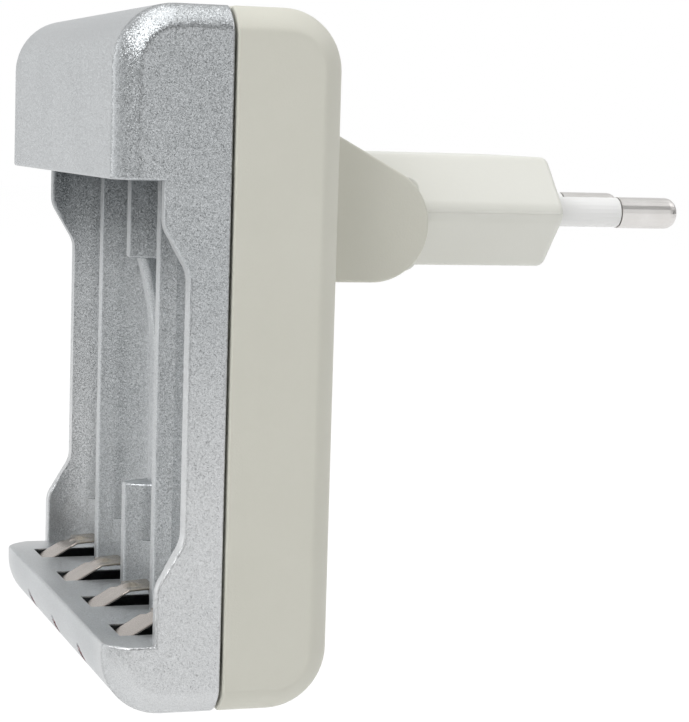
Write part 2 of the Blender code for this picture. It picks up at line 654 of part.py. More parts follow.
def back_cover():
    """Ivory cover: a tray with screw pillars and board posts inside and two hinge ears outside."""
    cover = envelope("back_cover", 0, PIECES, IVORY_PLASTIC)
    half = HALF_WIDTH + BEYOND
    region = boxes("back_region", [(-half, half, PARTING + GAP / 2, CASE_BACK + BEYOND,
                                    CASE_BOTTOM - BEYOND, CASE_TOP + BEYOND)])
    boolean(cover, 'INTERSECT', region)
    boolean(cover, 'DIFFERENCE', envelope("back_hollow", WALL))
    for side in (-1, 1):
        boolean(cover, 'UNION', hinge_ear(side))
    inside = INNER_BACK + 0.5 * MM
    seat = BOARD_BACK + GAP
    pillars = [((side * SCREW_X, SCREW_Z), BOSS_RADIUS, seat, inside) for side in (-1, 1)]
    posts = [((side * (HALF_WIDTH - POST_INSET), z), POST_RADIUS, seat, inside)
             for side in (-1, 1) for z in (BAY_FLOOR + POST_BOTTOM, BAY_TOP - POST_TOP)]
    boolean(cover, 'UNION', rods("pillars", pillars + posts, 'Y'))
    head_seat = CASE_BACK - COUNTERBORE
    heads = [((side * SCREW_X, SCREW_Z), SCREW_HEAD_RADIUS + GAP, head_seat, CASE_BACK + 1 * MM)
             for side in (-1, 1)]
    boolean(cover, 'DIFFERENCE', rods("counterbores", heads, 'Y'))
    shanks = [((side * SCREW_X, SCREW_Z), SCREW_RADIUS + GAP, seat - 1 * MM, CASE_BACK)
              for side in (-1, 1)]
    boolean(cover, 'DIFFERENCE', rods("clearance_holes", shanks, 'Y'))
    trunnion_holes = [((HINGE.y, HINGE.z), TRUNNION_RADIUS + GAP, -ear_bore_end(), ear_bore_end())]
    boolean(cover, 'DIFFERENCE', rods("trunnion_bores", trunnion_holes, 'X'))
    slots = [(x - MAINS_BLADE_WIDTH / 2 - GAP, x + MAINS_BLADE_WIDTH / 2 + GAP,
              INNER_BACK - 1 * MM, CASE_BACK + 0.5 * MM, *blade_slot_span()) for x in tail_centres()]
    boolean(cover, 'DIFFERENCE', boxes("blade_slots", slots))
    smooth(cover)


def ear_bore_end():
    return EAR_INNER + TRUNNION_LENGTH + GAP


def hinge_ear(side):
    """An ear with a round nose on the hinge, a level underside and a sloping top."""
    root = CASE_BACK - WALL / 2
    corner = Vector((root, HINGE.z + EAR_ROOT_RISE))
    spoke = corner - HINGE.yz
    tangent = math.degrees(math.atan2(spoke.y, spoke.x) - math.acos(EAR_RADIUS / spoke.length))
    nose = arc(tuple(HINGE.yz), EAR_RADIUS, -90, tangent, 20)
    outline = [(root, HINGE.z - EAR_RADIUS), *nose, tuple(corner)]
    low, high = (EAR_INNER, EAR_OUTER) if side > 0 else (-EAR_OUTER, -EAR_INNER)
    ear = prism(f"ear_{'left' if side < 0 else 'right'}", outline, low, high, 'X')
    bevel(ear, EAR_EDGE, 2)
    return ear


def tail_centres():
    """Where the pins' tails come out of the hinge barrel, a little wider than at the face."""
    reach = -(HINGE.y - BARREL_RADIUS)
    x = PIN_SPACING / 2 + reach * math.tan(TOE_IN)
    return [-x, x]


def blade_slot_span():
    return HINGE.z - BLADE_KNEE - BLADE_ROOM, HINGE.z + BLADE_TIP + 2 * BLADE_ROOM


def plug_body():
    """Plug moulding: a six-sided body, a full-width hinge block and two trunnions."""
    section = []
    for u, v in ((-1, -1), (1, -1)):
        section.append((u * PLUG_FLAT_HALF_WIDTH, v * PLUG_HALF_HEIGHT, PLUG_CORNER_ROUND))
    section.append((PLUG_HALF_WIDTH + PLUG_VERTEX, 0, PLUG_SIDE_ROUND))
    for u, v in ((1, 1), (-1, 1)):
        section.append((u * PLUG_FLAT_HALF_WIDTH, v * PLUG_HALF_HEIGHT, PLUG_CORNER_ROUND))
    section.append((-PLUG_HALF_WIDTH - PLUG_VERTEX, 0, PLUG_SIDE_ROUND))
    body = prism("plug_body", rounded(section, steps=3), HINGE.y - BARREL_RADIUS, 0, 'Y',
                 PIECES, PLUG_PLASTIC, moves=False)
    bevel(body, PLUG_FACE_ROUND, 3)
    rear = HINGE.y - BARREL_RADIUS - 1 * MM
    crown = PLUG_HALF_HEIGHT - HINGE.z + CROWN_RISE
    steep = math.degrees(math.acos(-(BARREL_RADIUS - 0.1 * MM) / crown))
    over = [*arc(tuple(HINGE.yz), crown, 80, steep, 10),
            *arc(tuple(HINGE.yz), BARREL_RADIUS - 0.1 * MM, 180, 270, 10)]
    behind = [*over, (HINGE.y, -BEYOND), (rear, -BEYOND), (rear, BEYOND), (over[0][0], BEYOND)]
    boolean(body, 'DIFFERENCE', prism("plug_end", behind, -BEYOND, BEYOND, 'X', moves=False))
    nose = HINGE.y + BARREL_FRONT
    block = [*arc(tuple(HINGE.yz), BARREL_RADIUS, 90, 270, 20),
             *rounded([(nose, HINGE.z - BARREL_RADIUS, BLOCK_ROUND),
                       (nose, HINGE.z + BARREL_RADIUS, BLOCK_ROUND),
                       (HINGE.y - BARREL_RADIUS, HINGE.z, 0)])[:-1]]
    hinge_block = prism("hinge_block", block, -PLUG_HALF_WIDTH, PLUG_HALF_WIDTH, 'X', moves=False)
    boolean(body, 'UNION', hinge_block)
    reach = EAR_INNER + TRUNNION_LENGTH
    trunnions = rods("trunnions", [((HINGE.y, HINGE.z), TRUNNION_RADIUS, -reach, reach)], 'X',
                     moves=False)
    boolean(body, 'UNION', trunnions)
    for side in (-1, 1):
        boolean(body, 'DIFFERENCE', pin_bore(side))
    smooth(body)


def pin_frame(side):
    """Local Z runs out of the socket side of a pin, from its root in the seating face."""
    lean = Matrix.Rotation(side * TOE_IN, 4, 'Z')
    return Matrix.Translation((side * PIN_SPACING / 2, 0, 0)) @ lean @ Matrix.Rotation(-math.pi / 2, 4, 'X')


def pin_bore(side):
    """The stepped hole in the plug for a pin's core and its insulating sleeve."""
    wide = SLEEVE_RADIUS + PIN_FIT
    narrow = PIN_CORE_RADIUS + PIN_FIT
    step = -SLEEVE_SEAT - PIN_FIT
    end = HINGE.y - 2 * BARREL_RADIUS
    profile = [(0, 1 * MM), (wide, 1 * MM), (wide, step), (narrow, step), (narrow, end), (0, end)]
    return turned(f"pin_bore_{'left' if side < 0 else 'right'}", profile, pin_frame(side),
                  CUTTERS, None, False)


def pins():
    """Round pins: a full-width nickelled tip, and a thinner core that runs back to the barrel."""
    tail = HINGE.y - BARREL_RADIUS + 0.1 * MM
    for side in (-1, 1):
        hand = 'left' if side < 0 else 'right'
        tip = arc((PIN_RADIUS - 1.4 * MM, PIN_LENGTH - 1.4 * MM), 1.4 * MM, 90, 0, 6)
        profile = [(0, PIN_LENGTH), *tip, (PIN_RADIUS, SLEEVE_LENGTH),
                   (PIN_CORE_RADIUS, SLEEVE_LENGTH), (PIN_CORE_RADIUS, tail), (0, tail)]
        pin = turned(f"pin_{hand}", profile, pin_frame(side), PIECES, NICKEL, False)
        smooth(pin)
        inner = PIN_CORE_RADIUS + PIN_FIT / 2
        top = SLEEVE_LENGTH - PIN_FIT
        ring = [(inner, top), (SLEEVE_RADIUS, top), (SLEEVE_RADIUS, -SLEEVE_SEAT),
                (inner, -SLEEVE_SEAT), (inner, top)]
        sleeve = turned(f"pin_sleeve_{hand}", ring, pin_frame(side), PIECES, WHITE_PLASTIC, False)
        smooth(sleeve)


def leaf_contacts():
    """Negative contacts: a base under the ledge, a bend, a ramp and a flat top for the cell."""
    base_z = BAY_FLOOR - LEAF_BASE_DROP
    front = CASE_FRONT + WINDOW_FRONT + STRIP / 2 + 0.2 * MM
    top = BAY_FLOOR + LEAF_RISE - STRIP / 2
    ramp_end = front + LEAF_RAMP
    flat_end = ramp_end + LEAF_FLAT
    for i, x in enumerate(bay_centres()):
        path = [(ON_BOARD, base_z, 0), (front, base_z, 0.5 * MM),
                (front, BAY_FLOOR - 0.9 * MM, 0.6 * MM), (ramp_end, top - 0.25 * MM, 1.2 * MM),
                (flat_end, top, 0.5 * MM), (flat_end + 0.5 * MM, BAY_FLOOR - 0.6 * MM, 0)]
        strip(f"leaf_contact_{i + 1}", path, x, LEAF_WIDTH, PIECES, NICKEL, True)


def positive_contacts():
    """Positive contacts: plates sunk in the header's floor, each with a tail up into the header."""
    z = BAY_TOP + POSITIVE_RIM + GAP + STRIP / 2
    tail = CASE_FRONT + POSITIVE_FRONT
    for i, x in enumerate(bay_centres()):
        path = [(tail + POSITIVE_LENGTH, z, 0), (tail, z, 0.4 * MM), (tail, z + POSITIVE_TAIL, 0)]
        strip(f"positive_contact_{i + 1}", path, x, POSITIVE_WIDTH, PIECES, NICKEL, True)


def small_cell_contacts():
    """Negative contacts of the thinner cells: flat tabs on the steps, run back to the board."""
    z = STEP_Z + GAP + STRIP / 2
    front = SMALL_CELL_AXIS + SMALL_CELL_RADIUS - 1.6 * MM
    for i, x in enumerate(bay_centres()):
        path = [(front, z, 0), (ON_BOARD, z, 0)]
        strip(f"small_cell_contact_{i + 1}", path, x, SMALL_CONTACT_WIDTH, PIECES, NICKEL, True)


def contact_holder():
    """Black comb under the ledge: a rail with a tray for the base of each leaf contact."""
    top = BAY_FLOOR - HOLDER_DROP
    low = top - HOLDER_THICKNESS
    ceiling = BAY_FLOOR - TUB_WALL - GAP
    half = LEAF_WIDTH / 2 + GAP
    outer = half + HOLDER_CHEEK
    front = CASE_FRONT + WINDOW_FRONT + 0.2 * MM
    rail_back = PARTING - GAP
    rail_front = rail_back - 2.5 * MM
    outermost = bay_centres()[-1] + outer
    holder = boxes("contact_holder", [(-outermost, outermost, rail_front, rail_back, low, top)],
                   PIECES, BLACK_PLASTIC)
    for i, x in enumerate(bay_centres()):
        tray = [(x - outer, low), (x + outer, low), (x + outer, ceiling), (x + half, ceiling),
                (x + half, top), (x - half, top), (x - half, ceiling), (x - outer, ceiling)]
        boolean(holder, 'UNION', prism(f"tray_{i + 1}", tray, front, rail_back, 'Y'))


def lamps():
    """Indicator lamps in the ledge's lower front edge, one under each ridge."""
    z = CASE_BOTTOM + LAMP_RISE
    surface = CASE_FRONT + CORNER_RADIUS - math.sqrt(CORNER_RADIUS ** 2
                                                     - (CORNER_RADIUS - LAMP_RISE) ** 2)
    tip = surface + GAP
    base = tip + LAMP_LENGTH
    for i, x in enumerate(lamp_centres()):
        dome = [(LAMP_RADIUS * math.sin(math.radians(a)), LAMP_RADIUS * (1 - math.cos(math.radians(a))))
                for a in range(0, 91, 15)]
        profile = [(r, -depth) for r, depth in dome]
        profile += [(LAMP_RADIUS, -LAMP_LENGTH + 1 * MM), (LAMP_FLANGE_RADIUS, -LAMP_LENGTH + 1 * MM),
                    (LAMP_FLANGE_RADIUS, -LAMP_LENGTH), (0, -LAMP_LENGTH)]
        matrix = Matrix.Translation((x, tip, z)) @ Matrix.Rotation(math.pi / 2, 4, 'X')
        lamp = turned(f"lamp_{i + 1}", profile, matrix, PIECES, RED_LENS, True, steps=20)
        leads = [((x + side * 0.65 * MM, z), LEAD_RADIUS, base - 0.5 * MM, ON_BOARD) for side in (-1, 1)]
        boolean(lamp, 'UNION', rods(f"lamp_leads_{i + 1}", leads, 'Y', segments=8))
        smooth(lamp)


def circuit_board():
    """Board behind the bays, held between the screw pillars and the front cover's bosses."""
    half = INNER_HALF_WIDTH - BOARD_MARGIN
    inner_radius = CORNER_RADIUS - WALL
    rise = inner_radius - math.sqrt(inner_radius ** 2 - (inner_radius - BOARD_STANDOFF) ** 2)
    top = CASE_TOP - WALL - rise - GAP
    bottom = CASE_BOTTOM + WALL + rise + GAP
    holes = [arc((side * SCREW_X, SCREW_Z), SCREW_RADIUS + GAP, 0, 337.5, 15) for side in (-1, 1)]
    prism("circuit_board", rectangle(-half, half, bottom, top, 1 * MM), BOARD_FRONT, BOARD_BACK,
          'Y', PIECES, BOARD_GREEN, holes=holes)


def can_frame(x, z):
    """Local Z runs forward from the board at a place on it."""
    return Matrix.Translation((x, ON_BOARD, z)) @ Matrix.Rotation(math.pi / 2, 4, 'X')


def capacitor(name, x, z, radius, height):
    """An upright can: rolled top rim, plain side and a crimped neck above its base."""
    rim = 0.6 * MM
    neck = 1.6 * MM
    profile = [(0, height - 0.3 * MM), (radius - 2 * rim, height - 0.3 * MM),
               *arc((radius - rim, height - rim), rim, 90, 0, 3),
               (radius, neck + rim), (radius - rim / 2, neck), (radius, neck - rim),
               (radius, rim / 2), (radius - rim / 2, 0), (0, 0)]
    can = turned(name, profile, can_frame(x, z), PIECES, CAN_SLEEVE, True, steps=32)
    smooth(can)


def transformer():
    """Small mains transformer: a two-window ferrite core and a taped coil on its middle leg."""
    x = 0
    z = HEADER_MIDDLE
    y = ON_BOARD - COIL_DEPTH / 2
    outline = rectangle(x - CORE_WIDTH / 2, x + CORE_WIDTH / 2, z - CORE_HEIGHT / 2,
                        z + CORE_HEIGHT / 2)
    yoke = CORE_LEG * 0.55
    windows = []
    for side in (-1, 1):
        inner = x + side * CORE_LEG / 2
        outer = x + side * (CORE_WIDTH / 2 - yoke)
        windows.append(rectangle(min(inner, outer), max(inner, outer),
                                 z - CORE_HEIGHT / 2 + yoke, z + CORE_HEIGHT / 2 - yoke))
    prism("transformer_core", outline, y - CORE_THICKNESS / 2, y + CORE_THICKNESS / 2, 'Y',
          PIECES, FERRITE, holes=windows)
    coil_half = CORE_WIDTH / 2 - yoke - GAP
    coil_height = CORE_HEIGHT - 2 * yoke - 2 * GAP
    hole = rectangle(x - CORE_LEG / 2 - GAP, x + CORE_LEG / 2 + GAP,
                     y - CORE_THICKNESS / 2 - GAP, y + CORE_THICKNESS / 2 + GAP)
    prism("transformer_coil", rectangle(x - coil_half, x + coil_half, y - COIL_DEPTH / 2,
                                        y + COIL_DEPTH / 2, 1.2 * MM),
          z - coil_height / 2, z + coil_height / 2, 'Z', PIECES, COIL_TAPE, holes=[hole])


def chip(name, x, z, width, height, thickness, lead_count):
    """A surface-mounted chip: a flat body with a row of gull-wing leads on two sides."""
    lift = 0.3 * MM
    body = boxes(name, [(x - width / 2, x + width / 2, ON_BOARD - lift - thickness,
                         ON_BOARD - lift, z - height / 2, z + height / 2)], PIECES, BLACK_PLASTIC)
    bevel(body, 0.15 * MM, 1)
    pitch = width / lead_count
    reach = height / 2 + 1.0 * MM
    leads = []
    for i in range(lead_count):
        left = x - width / 2 + (i + 0.5) * pitch
        for side in (-1, 1):
            z0, z1 = sorted((z + side * (height / 2 - 0.4 * MM), z + side * reach))
            leads.append((left - pitch * 0.2, left + pitch * 0.2, ON_BOARD - lift - 0.5 * MM,
                          ON_BOARD - 0.05 * MM, z0, z1))
    boolean(body, 'UNION', boxes(f"{name}_leads", leads))


def fuse():
    """Wire-ended fuse: a ribbed barrel lying above the board on its two bent leads."""
    x = -OUTPUT_SIDE
    z = BAY_TOP + TUB_WALL + FUSE_RISE
    y = ON_BOARD - 1.5 * FUSE_RADIUS
    half = FUSE_LENGTH / 2
    radius = FUSE_RADIUS
    waist = radius * 0.84
    profile = [(0, half), (radius, half), (radius, half * 0.69), (waist, half * 0.6),
               (waist, -half * 0.6), (radius, -half * 0.69), (radius, -half), (0, -half)]
    matrix = Matrix.Translation((x, y, z)) @ Matrix.Rotation(math.pi / 2, 4, 'Y')
    barrel = turned("fuse", profile, matrix, PIECES, WHITE_PLASTIC, True, steps=16)
    for side in (-1, 1):
        bend = half + 1.2 * MM
        points = [(x + side * (half - 0.5 * MM), y, z), (x + side * bend, y, z),
                  (x + side * (bend + 0.3 * MM), y + 0.3 * MM, z),
                  (x + side * (bend + 0.3 * MM), ON_BOARD, z)]
        lead = wire(f"fuse_lead_{'left' if side < 0 else 'right'}", points, 0.3 * MM)
        boolean(barrel, 'UNION', lead)
    smooth(barrel)


def screws():
    """Case screws with a domed head and a cross recess, driven in from the back."""
    seat = CASE_BACK - COUNTERBORE
    for side in (-1, 1):
        hand = 'left' if side < 0 else 'right'
        crown = SCREW_HEAD_HEIGHT
        profile = [(0, crown), (SCREW_HEAD_RADIUS * 0.6, crown - 0.1 * MM),
                   (SCREW_HEAD_RADIUS * 0.92, crown - 0.5 * MM), (SCREW_HEAD_RADIUS, GAP),
                   (SCREW_RADIUS, GAP), (SCREW_RADIUS, 1 * MM - SCREW_LENGTH),
                   (SCREW_RADIUS * 0.5, -SCREW_LENGTH), (0, -SCREW_LENGTH)]
        matrix = Matrix.Translation((side * SCREW_X, seat, SCREW_Z)) @ Matrix.Rotation(-math.pi / 2, 4, 'X')
        screw = turned(f"screw_{hand}", profile, matrix, PIECES, STEEL, True)
        x, z, arm, slot = side * SCREW_X, SCREW_Z, 1.3 * MM, 0.3 * MM
        deep = seat + crown - 0.9 * MM
        out = seat + crown + 1 * MM
        boolean(screw, 'DIFFERENCE', boxes(f"recess_level_{hand}",
                                           [(x - arm, x + arm, deep, out, z - slot, z + slot)]))
        boolean(screw, 'DIFFERENCE', boxes(f"recess_upright_{hand}",
                                           [(x - slot, x + slot, deep, out, z - arm, z + arm)]))
        smooth(screw)


def mains_blades():
    """Spring blades from the board out through the back wall to the pins' tails."""
    root = BOARD_BACK + GAP + STRIP / 2
    apex = HINGE.y - BARREL_RADIUS - GAP - STRIP / 2
    for x, hand in zip(tail_centres(), ("left", "right")):
        path = [(root, HINGE.z - BLADE_FOOT, 0), (root, HINGE.z - BLADE_KNEE, 2 * STRIP),
                (apex, HINGE.z + BLADE_CREST, 2 * STRIP),
                (apex - (BLADE_TIP - BLADE_CREST) / 3, HINGE.z + BLADE_TIP, 0)]
        strip(f"mains_blade_{hand}", path, x, MAINS_BLADE_WIDTH, PIECES, NICKEL, True)


front_cover()
back_cover()
plug_body()
pins()
leaf_contacts()
positive_contacts()
small_cell_contacts()
contact_holder()
lamps()
circuit_board()
transformer()
capacitor("mains_capacitor", MAINS_SIDE, HEADER_MIDDLE, MAINS_CAPACITOR_RADIUS,
          MAINS_CAPACITOR_HEIGHT)
capacitor("output_capacitor", -OUTPUT_SIDE,
          CASE_TOP - WALL - OUTPUT_CAPACITOR_RADIUS - BOARD_STANDOFF, OUTPUT_CAPACITOR_RADIUS,
          OUTPUT_CAPACITOR_HEIGHT)
chip("rectifier", HALF_WIDTH - POST_INSET, BAY_TOP - POST_TOP / 2, RECTIFIER_WIDTH, CHIP_DEPTH,
     RECTIFIER_THICKNESS, 2)
chip("switching_chip", 0, BAY_TOP - POST_TOP / 2, SWITCHING_CHIP_WIDTH, CHIP_DEPTH,
     CHIP_THICKNESS, 4)
chip("charge_controller", 0, BAY_FLOOR + BAY_LENGTH / 3, CONTROLLER_WIDTH, CHIP_DEPTH,
     CHIP_THICKNESS, 8)
fuse()
screws()
mains_blades()
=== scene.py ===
"""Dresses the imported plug-in battery charger: covers, plug, contacts, lamps, studio and camera."""

import math

import bmesh
import bpy
from mathutils import Matrix, Vector


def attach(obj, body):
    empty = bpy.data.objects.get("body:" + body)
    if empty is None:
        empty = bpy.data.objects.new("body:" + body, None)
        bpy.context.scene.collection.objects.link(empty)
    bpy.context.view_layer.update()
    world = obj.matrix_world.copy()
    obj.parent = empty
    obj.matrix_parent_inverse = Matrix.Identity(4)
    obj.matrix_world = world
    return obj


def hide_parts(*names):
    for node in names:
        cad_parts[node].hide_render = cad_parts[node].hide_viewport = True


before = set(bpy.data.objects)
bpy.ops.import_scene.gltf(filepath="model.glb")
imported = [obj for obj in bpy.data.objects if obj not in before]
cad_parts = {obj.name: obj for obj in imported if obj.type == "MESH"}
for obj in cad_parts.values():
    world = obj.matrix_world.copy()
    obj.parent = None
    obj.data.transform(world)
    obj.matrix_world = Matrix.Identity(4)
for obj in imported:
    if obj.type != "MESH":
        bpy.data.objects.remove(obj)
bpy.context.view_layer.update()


# Front cover
# The silver half of the case is one injection-moulded ABS shell: header, four cell bays, side
# walls with finger cut-outs and a ledge. It is sprayed with metallic paint after moulding, and
# two screws through the back hold it.
MM = 0.001
FRONT = -60.6 * MM
BACK = -34.0 * MM
TOP = 23.1 * MM
BOTTOM = -57.3 * MM
HALF_WIDTH = 33.35 * MM
WALL = 1.8 * MM
PARTING = -47.2 * MM
PARTING_GAP = 0.3 * MM
BAY_TOP = 3.45 * MM
LEDGE = -48.85 * MM
HALF_PITCH = 8 * MM
BAYS = [-24 * MM, -8 * MM, 8 * MM, 24 * MM]
CELL_AXIS = FRONT + 6.4 * MM
CELL_ROOM = 7.5 * MM
CREST = FRONT + 9.1 * MM
GROOVE_AXIS = FRONT + 9.6 * MM
GROOVE_ROOM = 6.1 * MM
STEP = -42.5 * MM
TUB_WALL = 1.5 * MM
BACKING_HALF = 4.7 * MM
BOARD_FRONT = -39.4 * MM
LAMPS_ACROSS = (-16 * MM, 0, 16 * MM)
SCREW_ACROSS = 26 * MM
SCREW_HEIGHT = TOP - 6.6 * MM
EDGE_ROUND = 0.32 * MM
BEYOND = 20 * MM
TOUCH = 0.01 * MM


def arc(centre, radius, start, end, steps):
    """Points on a circle between two angles in degrees, both ends included."""
    turns = [math.radians(start + (end - start) * i / steps) for i in range(steps + 1)]
    return [(centre[0] + radius * math.cos(t), centre[1] + radius * math.sin(t)) for t in turns]


def rounded(corners, steps=8):
    """An outline of (u, v, radius) corners with the radii turned into arcs."""
    points = []
    for i, (u, v, radius) in enumerate(corners):
        here = Vector((u, v))
        if radius == 0:
            points.append((u, v))
            continue
        before = (Vector(corners[i - 1][:2]) - here).normalized()
        after = (Vector(corners[(i + 1) % len(corners)][:2]) - here).normalized()
        half = before.angle(after) / 2
        centre = here + (before + after).normalized() * (radius / math.sin(half))
        start = here + before * (radius / math.tan(half)) - centre
        end = here + after * (radius / math.tan(half)) - centre
        turn = end.angle_signed(start)
        points += [tuple(centre + Matrix.Rotation(turn * k / steps, 2) @ start)
                   for k in range(steps + 1)]
    return points


def mesh_piece(name, shape):
    """A finished shape as an object of the scene."""
    bmesh.ops.recalc_face_normals(shape, faces=shape.faces)
    mesh = bpy.data.meshes.new(name)
    shape.to_mesh(mesh)
    shape.free()
    piece = bpy.data.objects.new(name, mesh)
    bpy.context.scene.collection.objects.link(piece)
    return piece


def prism(name, outline, low, high, axis):
    """An outline pushed along an axis: (y, z) along X, (x, z) along Y, (x, y) along Z."""
    spots = {'X': lambda u, v, w: (w, u, v), 'Y': lambda u, v, w: (u, w, v),
             'Z': lambda u, v, w: (u, v, w)}[axis]
    shape = bmesh.new()
    face = shape.faces.new([shape.verts.new(spots(u, v, low)) for u, v in outline])
    grown = bmesh.ops.extrude_face_region(shape, geom=[face])["geom"]
    moved = [part for part in grown if isinstance(part, bmesh.types.BMVert)]
    bmesh.ops.translate(shape, verts=moved, vec=spots(0, 0, high - low))
    bmesh.ops.remove_doubles(shape, verts=shape.verts, dist=0.0005 * MM)
    return mesh_piece(name, shape)


def blocks(name, extents):
    """Boxes in one mesh, each as (x0, x1, y0, y1, z0, z1)."""
    shape = bmesh.new()
    for x0, x1, y0, y1, z0, z1 in extents:
        size = Matrix.Diagonal((x1 - x0, y1 - y0, z1 - z0, 1))
        middle = Matrix.Translation(((x0 + x1) / 2, (y0 + y1) / 2, (z0 + z1) / 2))
        bmesh.ops.create_cube(shape, size=1, matrix=middle @ size)
    return mesh_piece(name, shape)


def rods(name, ends, axis):
    """Cylinders in one mesh, each as (centre, radius, low, high) along an axis."""
    turn = {'X': Matrix.Rotation(math.pi / 2, 4, 'Y'), 'Y': Matrix.Rotation(math.pi / 2, 4, 'X'),
            'Z': Matrix.Identity(4)}[axis]
    shape = bmesh.new()
    for (u, v), radius, low, high in ends:
        middle = (low + high) / 2
        spot = {'X': (middle, u, v), 'Y': (u, middle, v), 'Z': (u, v, middle)}[axis]
        bmesh.ops.create_cone(shape, cap_ends=True, segments=48, radius1=radius,
                              radius2=radius, depth=high - low,
                              matrix=Matrix.Translation(spot) @ turn)
    return mesh_piece(name, shape)


def settle(piece):
    """Turns a piece's modifiers into plain mesh."""
    bpy.context.view_layer.update()
    shown = piece.evaluated_get(bpy.context.evaluated_depsgraph_get())
    mesh = bpy.data.meshes.new_from_object(shown)
    old = piece.data
    piece.modifiers.clear()
    piece.data = mesh
    bpy.data.meshes.remove(old)
    return piece


def join(piece, operation, *others):
    """Joins others to a piece, or cuts with them, and uses them up."""
    for other in others:
        modifier = piece.modifiers.new("join", 'BOOLEAN')
        modifier.operation = operation
        modifier.object = other
    settle(piece)
    for other in others:
        bpy.data.objects.remove(other, do_unlink=True)


def tidy_faces(piece):
    """Merges the splits that a cut leaves in flat faces."""
    shape = bmesh.new()
    shape.from_mesh(piece.data)
    bmesh.ops.remove_doubles(shape, verts=shape.verts, dist=0.002 * MM)
    bmesh.ops.triangulate(shape, faces=[face for face in shape.faces if len(face.verts) > 4])
    bmesh.ops.dissolve_degenerate(shape, edges=shape.edges, dist=0.001 * MM)
    bmesh.ops.dissolve_limit(shape, angle_limit=math.radians(0.6), verts=shape.verts,
                             edges=shape.edges)
    loose = [edge for edge in shape.edges if not edge.link_faces]
    bmesh.ops.delete(shape, geom=loose, context='EDGES')
    shape.to_mesh(piece.data)
    shape.free()


def round_edges(piece, width, chosen):
    """Rounds the sharp outer edges whose two ends a test picks out."""
    shape = bmesh.new()
    shape.from_mesh(piece.data)
    edges = [edge for edge in shape.edges if len(edge.link_faces) == 2 and edge.is_convex
             and edge.calc_face_angle() > math.radians(38)
             and all(chosen(*vertex.co) for vertex in edge.verts)]
    bmesh.ops.bevel(shape, geom=edges, offset=width, segments=3, profile=0.5,
                    affect='EDGES', clamp_overlap=False, miter_outer='ARC')
    shape.to_mesh(piece.data)
    shape.free()


def shade(piece, angle=32):
    """Smooth shading that keeps flat faces flat."""
    piece.data.shade_smooth()
    piece.data.set_sharp_from_angle(angle=math.radians(angle))
    weights = piece.modifiers.new("weights", 'WEIGHTED_NORMAL')
    weights.mode = 'FACE_AREA'
    weights.weight = 100
    weights.keep_sharp = True
    return settle(piece)


def case_block(name, inset):
    """The whole case as one block: rounded side outline, end faces rolled over."""
    corner = 7 * MM - inset
    front, back, bottom, top = FRONT + inset, BACK - inset, BOTTOM + inset, TOP - inset
    outline = rounded([(front, bottom, corner), (back, bottom, corner), (back, top, corner),
                       (front, top, corner)], 14)
    block = prism(name, outline, inset - HALF_WIDTH, HALF_WIDTH - inset, 'X')
    roll = block.modifiers.new("roll", 'BEVEL')
    roll.width = 3 * MM - inset / 3
    roll.segments = 6
    roll.profile = 0.36
    roll.limit_method = 'ANGLE'
    roll.angle_limit = math.radians(40)
    return settle(block)


def near_outside(x, z):
    """Whether a spot lies in the case's outer walls, seen along Y."""
    edge = 1.5 * MM
    return abs(x) > HALF_WIDTH - edge or not BOTTOM + edge < z < TOP - edge


def crest_corner(x, side, start, half, soft):
    """The soft corner between a ridge's flat crest and a bay's wall, from the crest inwards."""
    edge = x + side * (HALF_PITCH - half)
    bend = [(edge + side * soft, CREST), (edge, CREST), start]
    return [tuple((1 - t) ** 2 * Vector(bend[0]) + 2 * t * (1 - t) * Vector(bend[1])
                  + t ** 2 * Vector(bend[2])) for t in (0, 0.25, 0.5, 0.75)]


def bays_outline(grow):
    """The four bays' shared section in (x, y), open at the front."""
    radius = CELL_ROOM + grow
    front = FRONT - BEYOND
    reach = math.sqrt(radius ** 2 - (CREST - CELL_AXIS) ** 2)
    crest_half = 0.0 if grow else HALF_PITCH - reach
    inner = math.degrees(math.acos((HALF_PITCH - crest_half) / radius))
    soft = 0.0 if grow else 0.35 * MM
    turn = math.degrees(soft / radius)
    points = [(BAYS[0] - radius, front)]
    for i, x in enumerate(BAYS):
        first, last = i == 0, i == len(BAYS) - 1
        ring = arc((x, CELL_AXIS), radius, 180 if first else 180 - inner - turn,
                   0 if last else inner + turn, 28)
        if grow:
            points += ring[1:] if i > 0 else ring
            continue
        if not first:
            points += crest_corner(x, -1, ring[0], crest_half, soft)
        points += ring
        if not last:
            points += reversed(crest_corner(x, 1, ring[-1], crest_half, soft))
    return points + [(BAYS[-1] + radius, front)]


def groove_outline(x, grow):
    """The narrower groove for a thinner cell in (x, y), open towards its bay."""
    radius = GROOVE_ROOM + grow
    front = CELL_AXIS - 1 * MM
    return [(x - radius, front), *arc((x, GROOVE_AXIS), radius, 180, 0, 28), (x + radius, front)]


SCOOP_TOP = BAY_TOP - 10.5 * MM
SCOOP_BOTTOM = BAY_TOP - 38.8 * MM
SCOOP_START = CREST + 1.35 * MM
CHANNEL = CREST + 3.8 * MM
CHANNEL_HALF = 3.2 * MM
RIB_HALF = 1.7 * MM


def scoop_line():
    """The scoop's floor down the middle ridge in (y, z): an arc that runs out into a straight."""
    sag = 2.05 * MM
    half = (SCOOP_TOP - SCOOP_BOTTOM) / 2
    radius = (half ** 2 + sag ** 2) / (2 * sag)
    sweep = math.degrees(math.asin(half / radius))
    centre = (SCOOP_START + sag - radius, (SCOOP_TOP + SCOOP_BOTTOM) / 2)
    line = arc(centre, radius, 0, sweep, 18)
    return [(line[0][0], SCOOP_BOTTOM), *line]


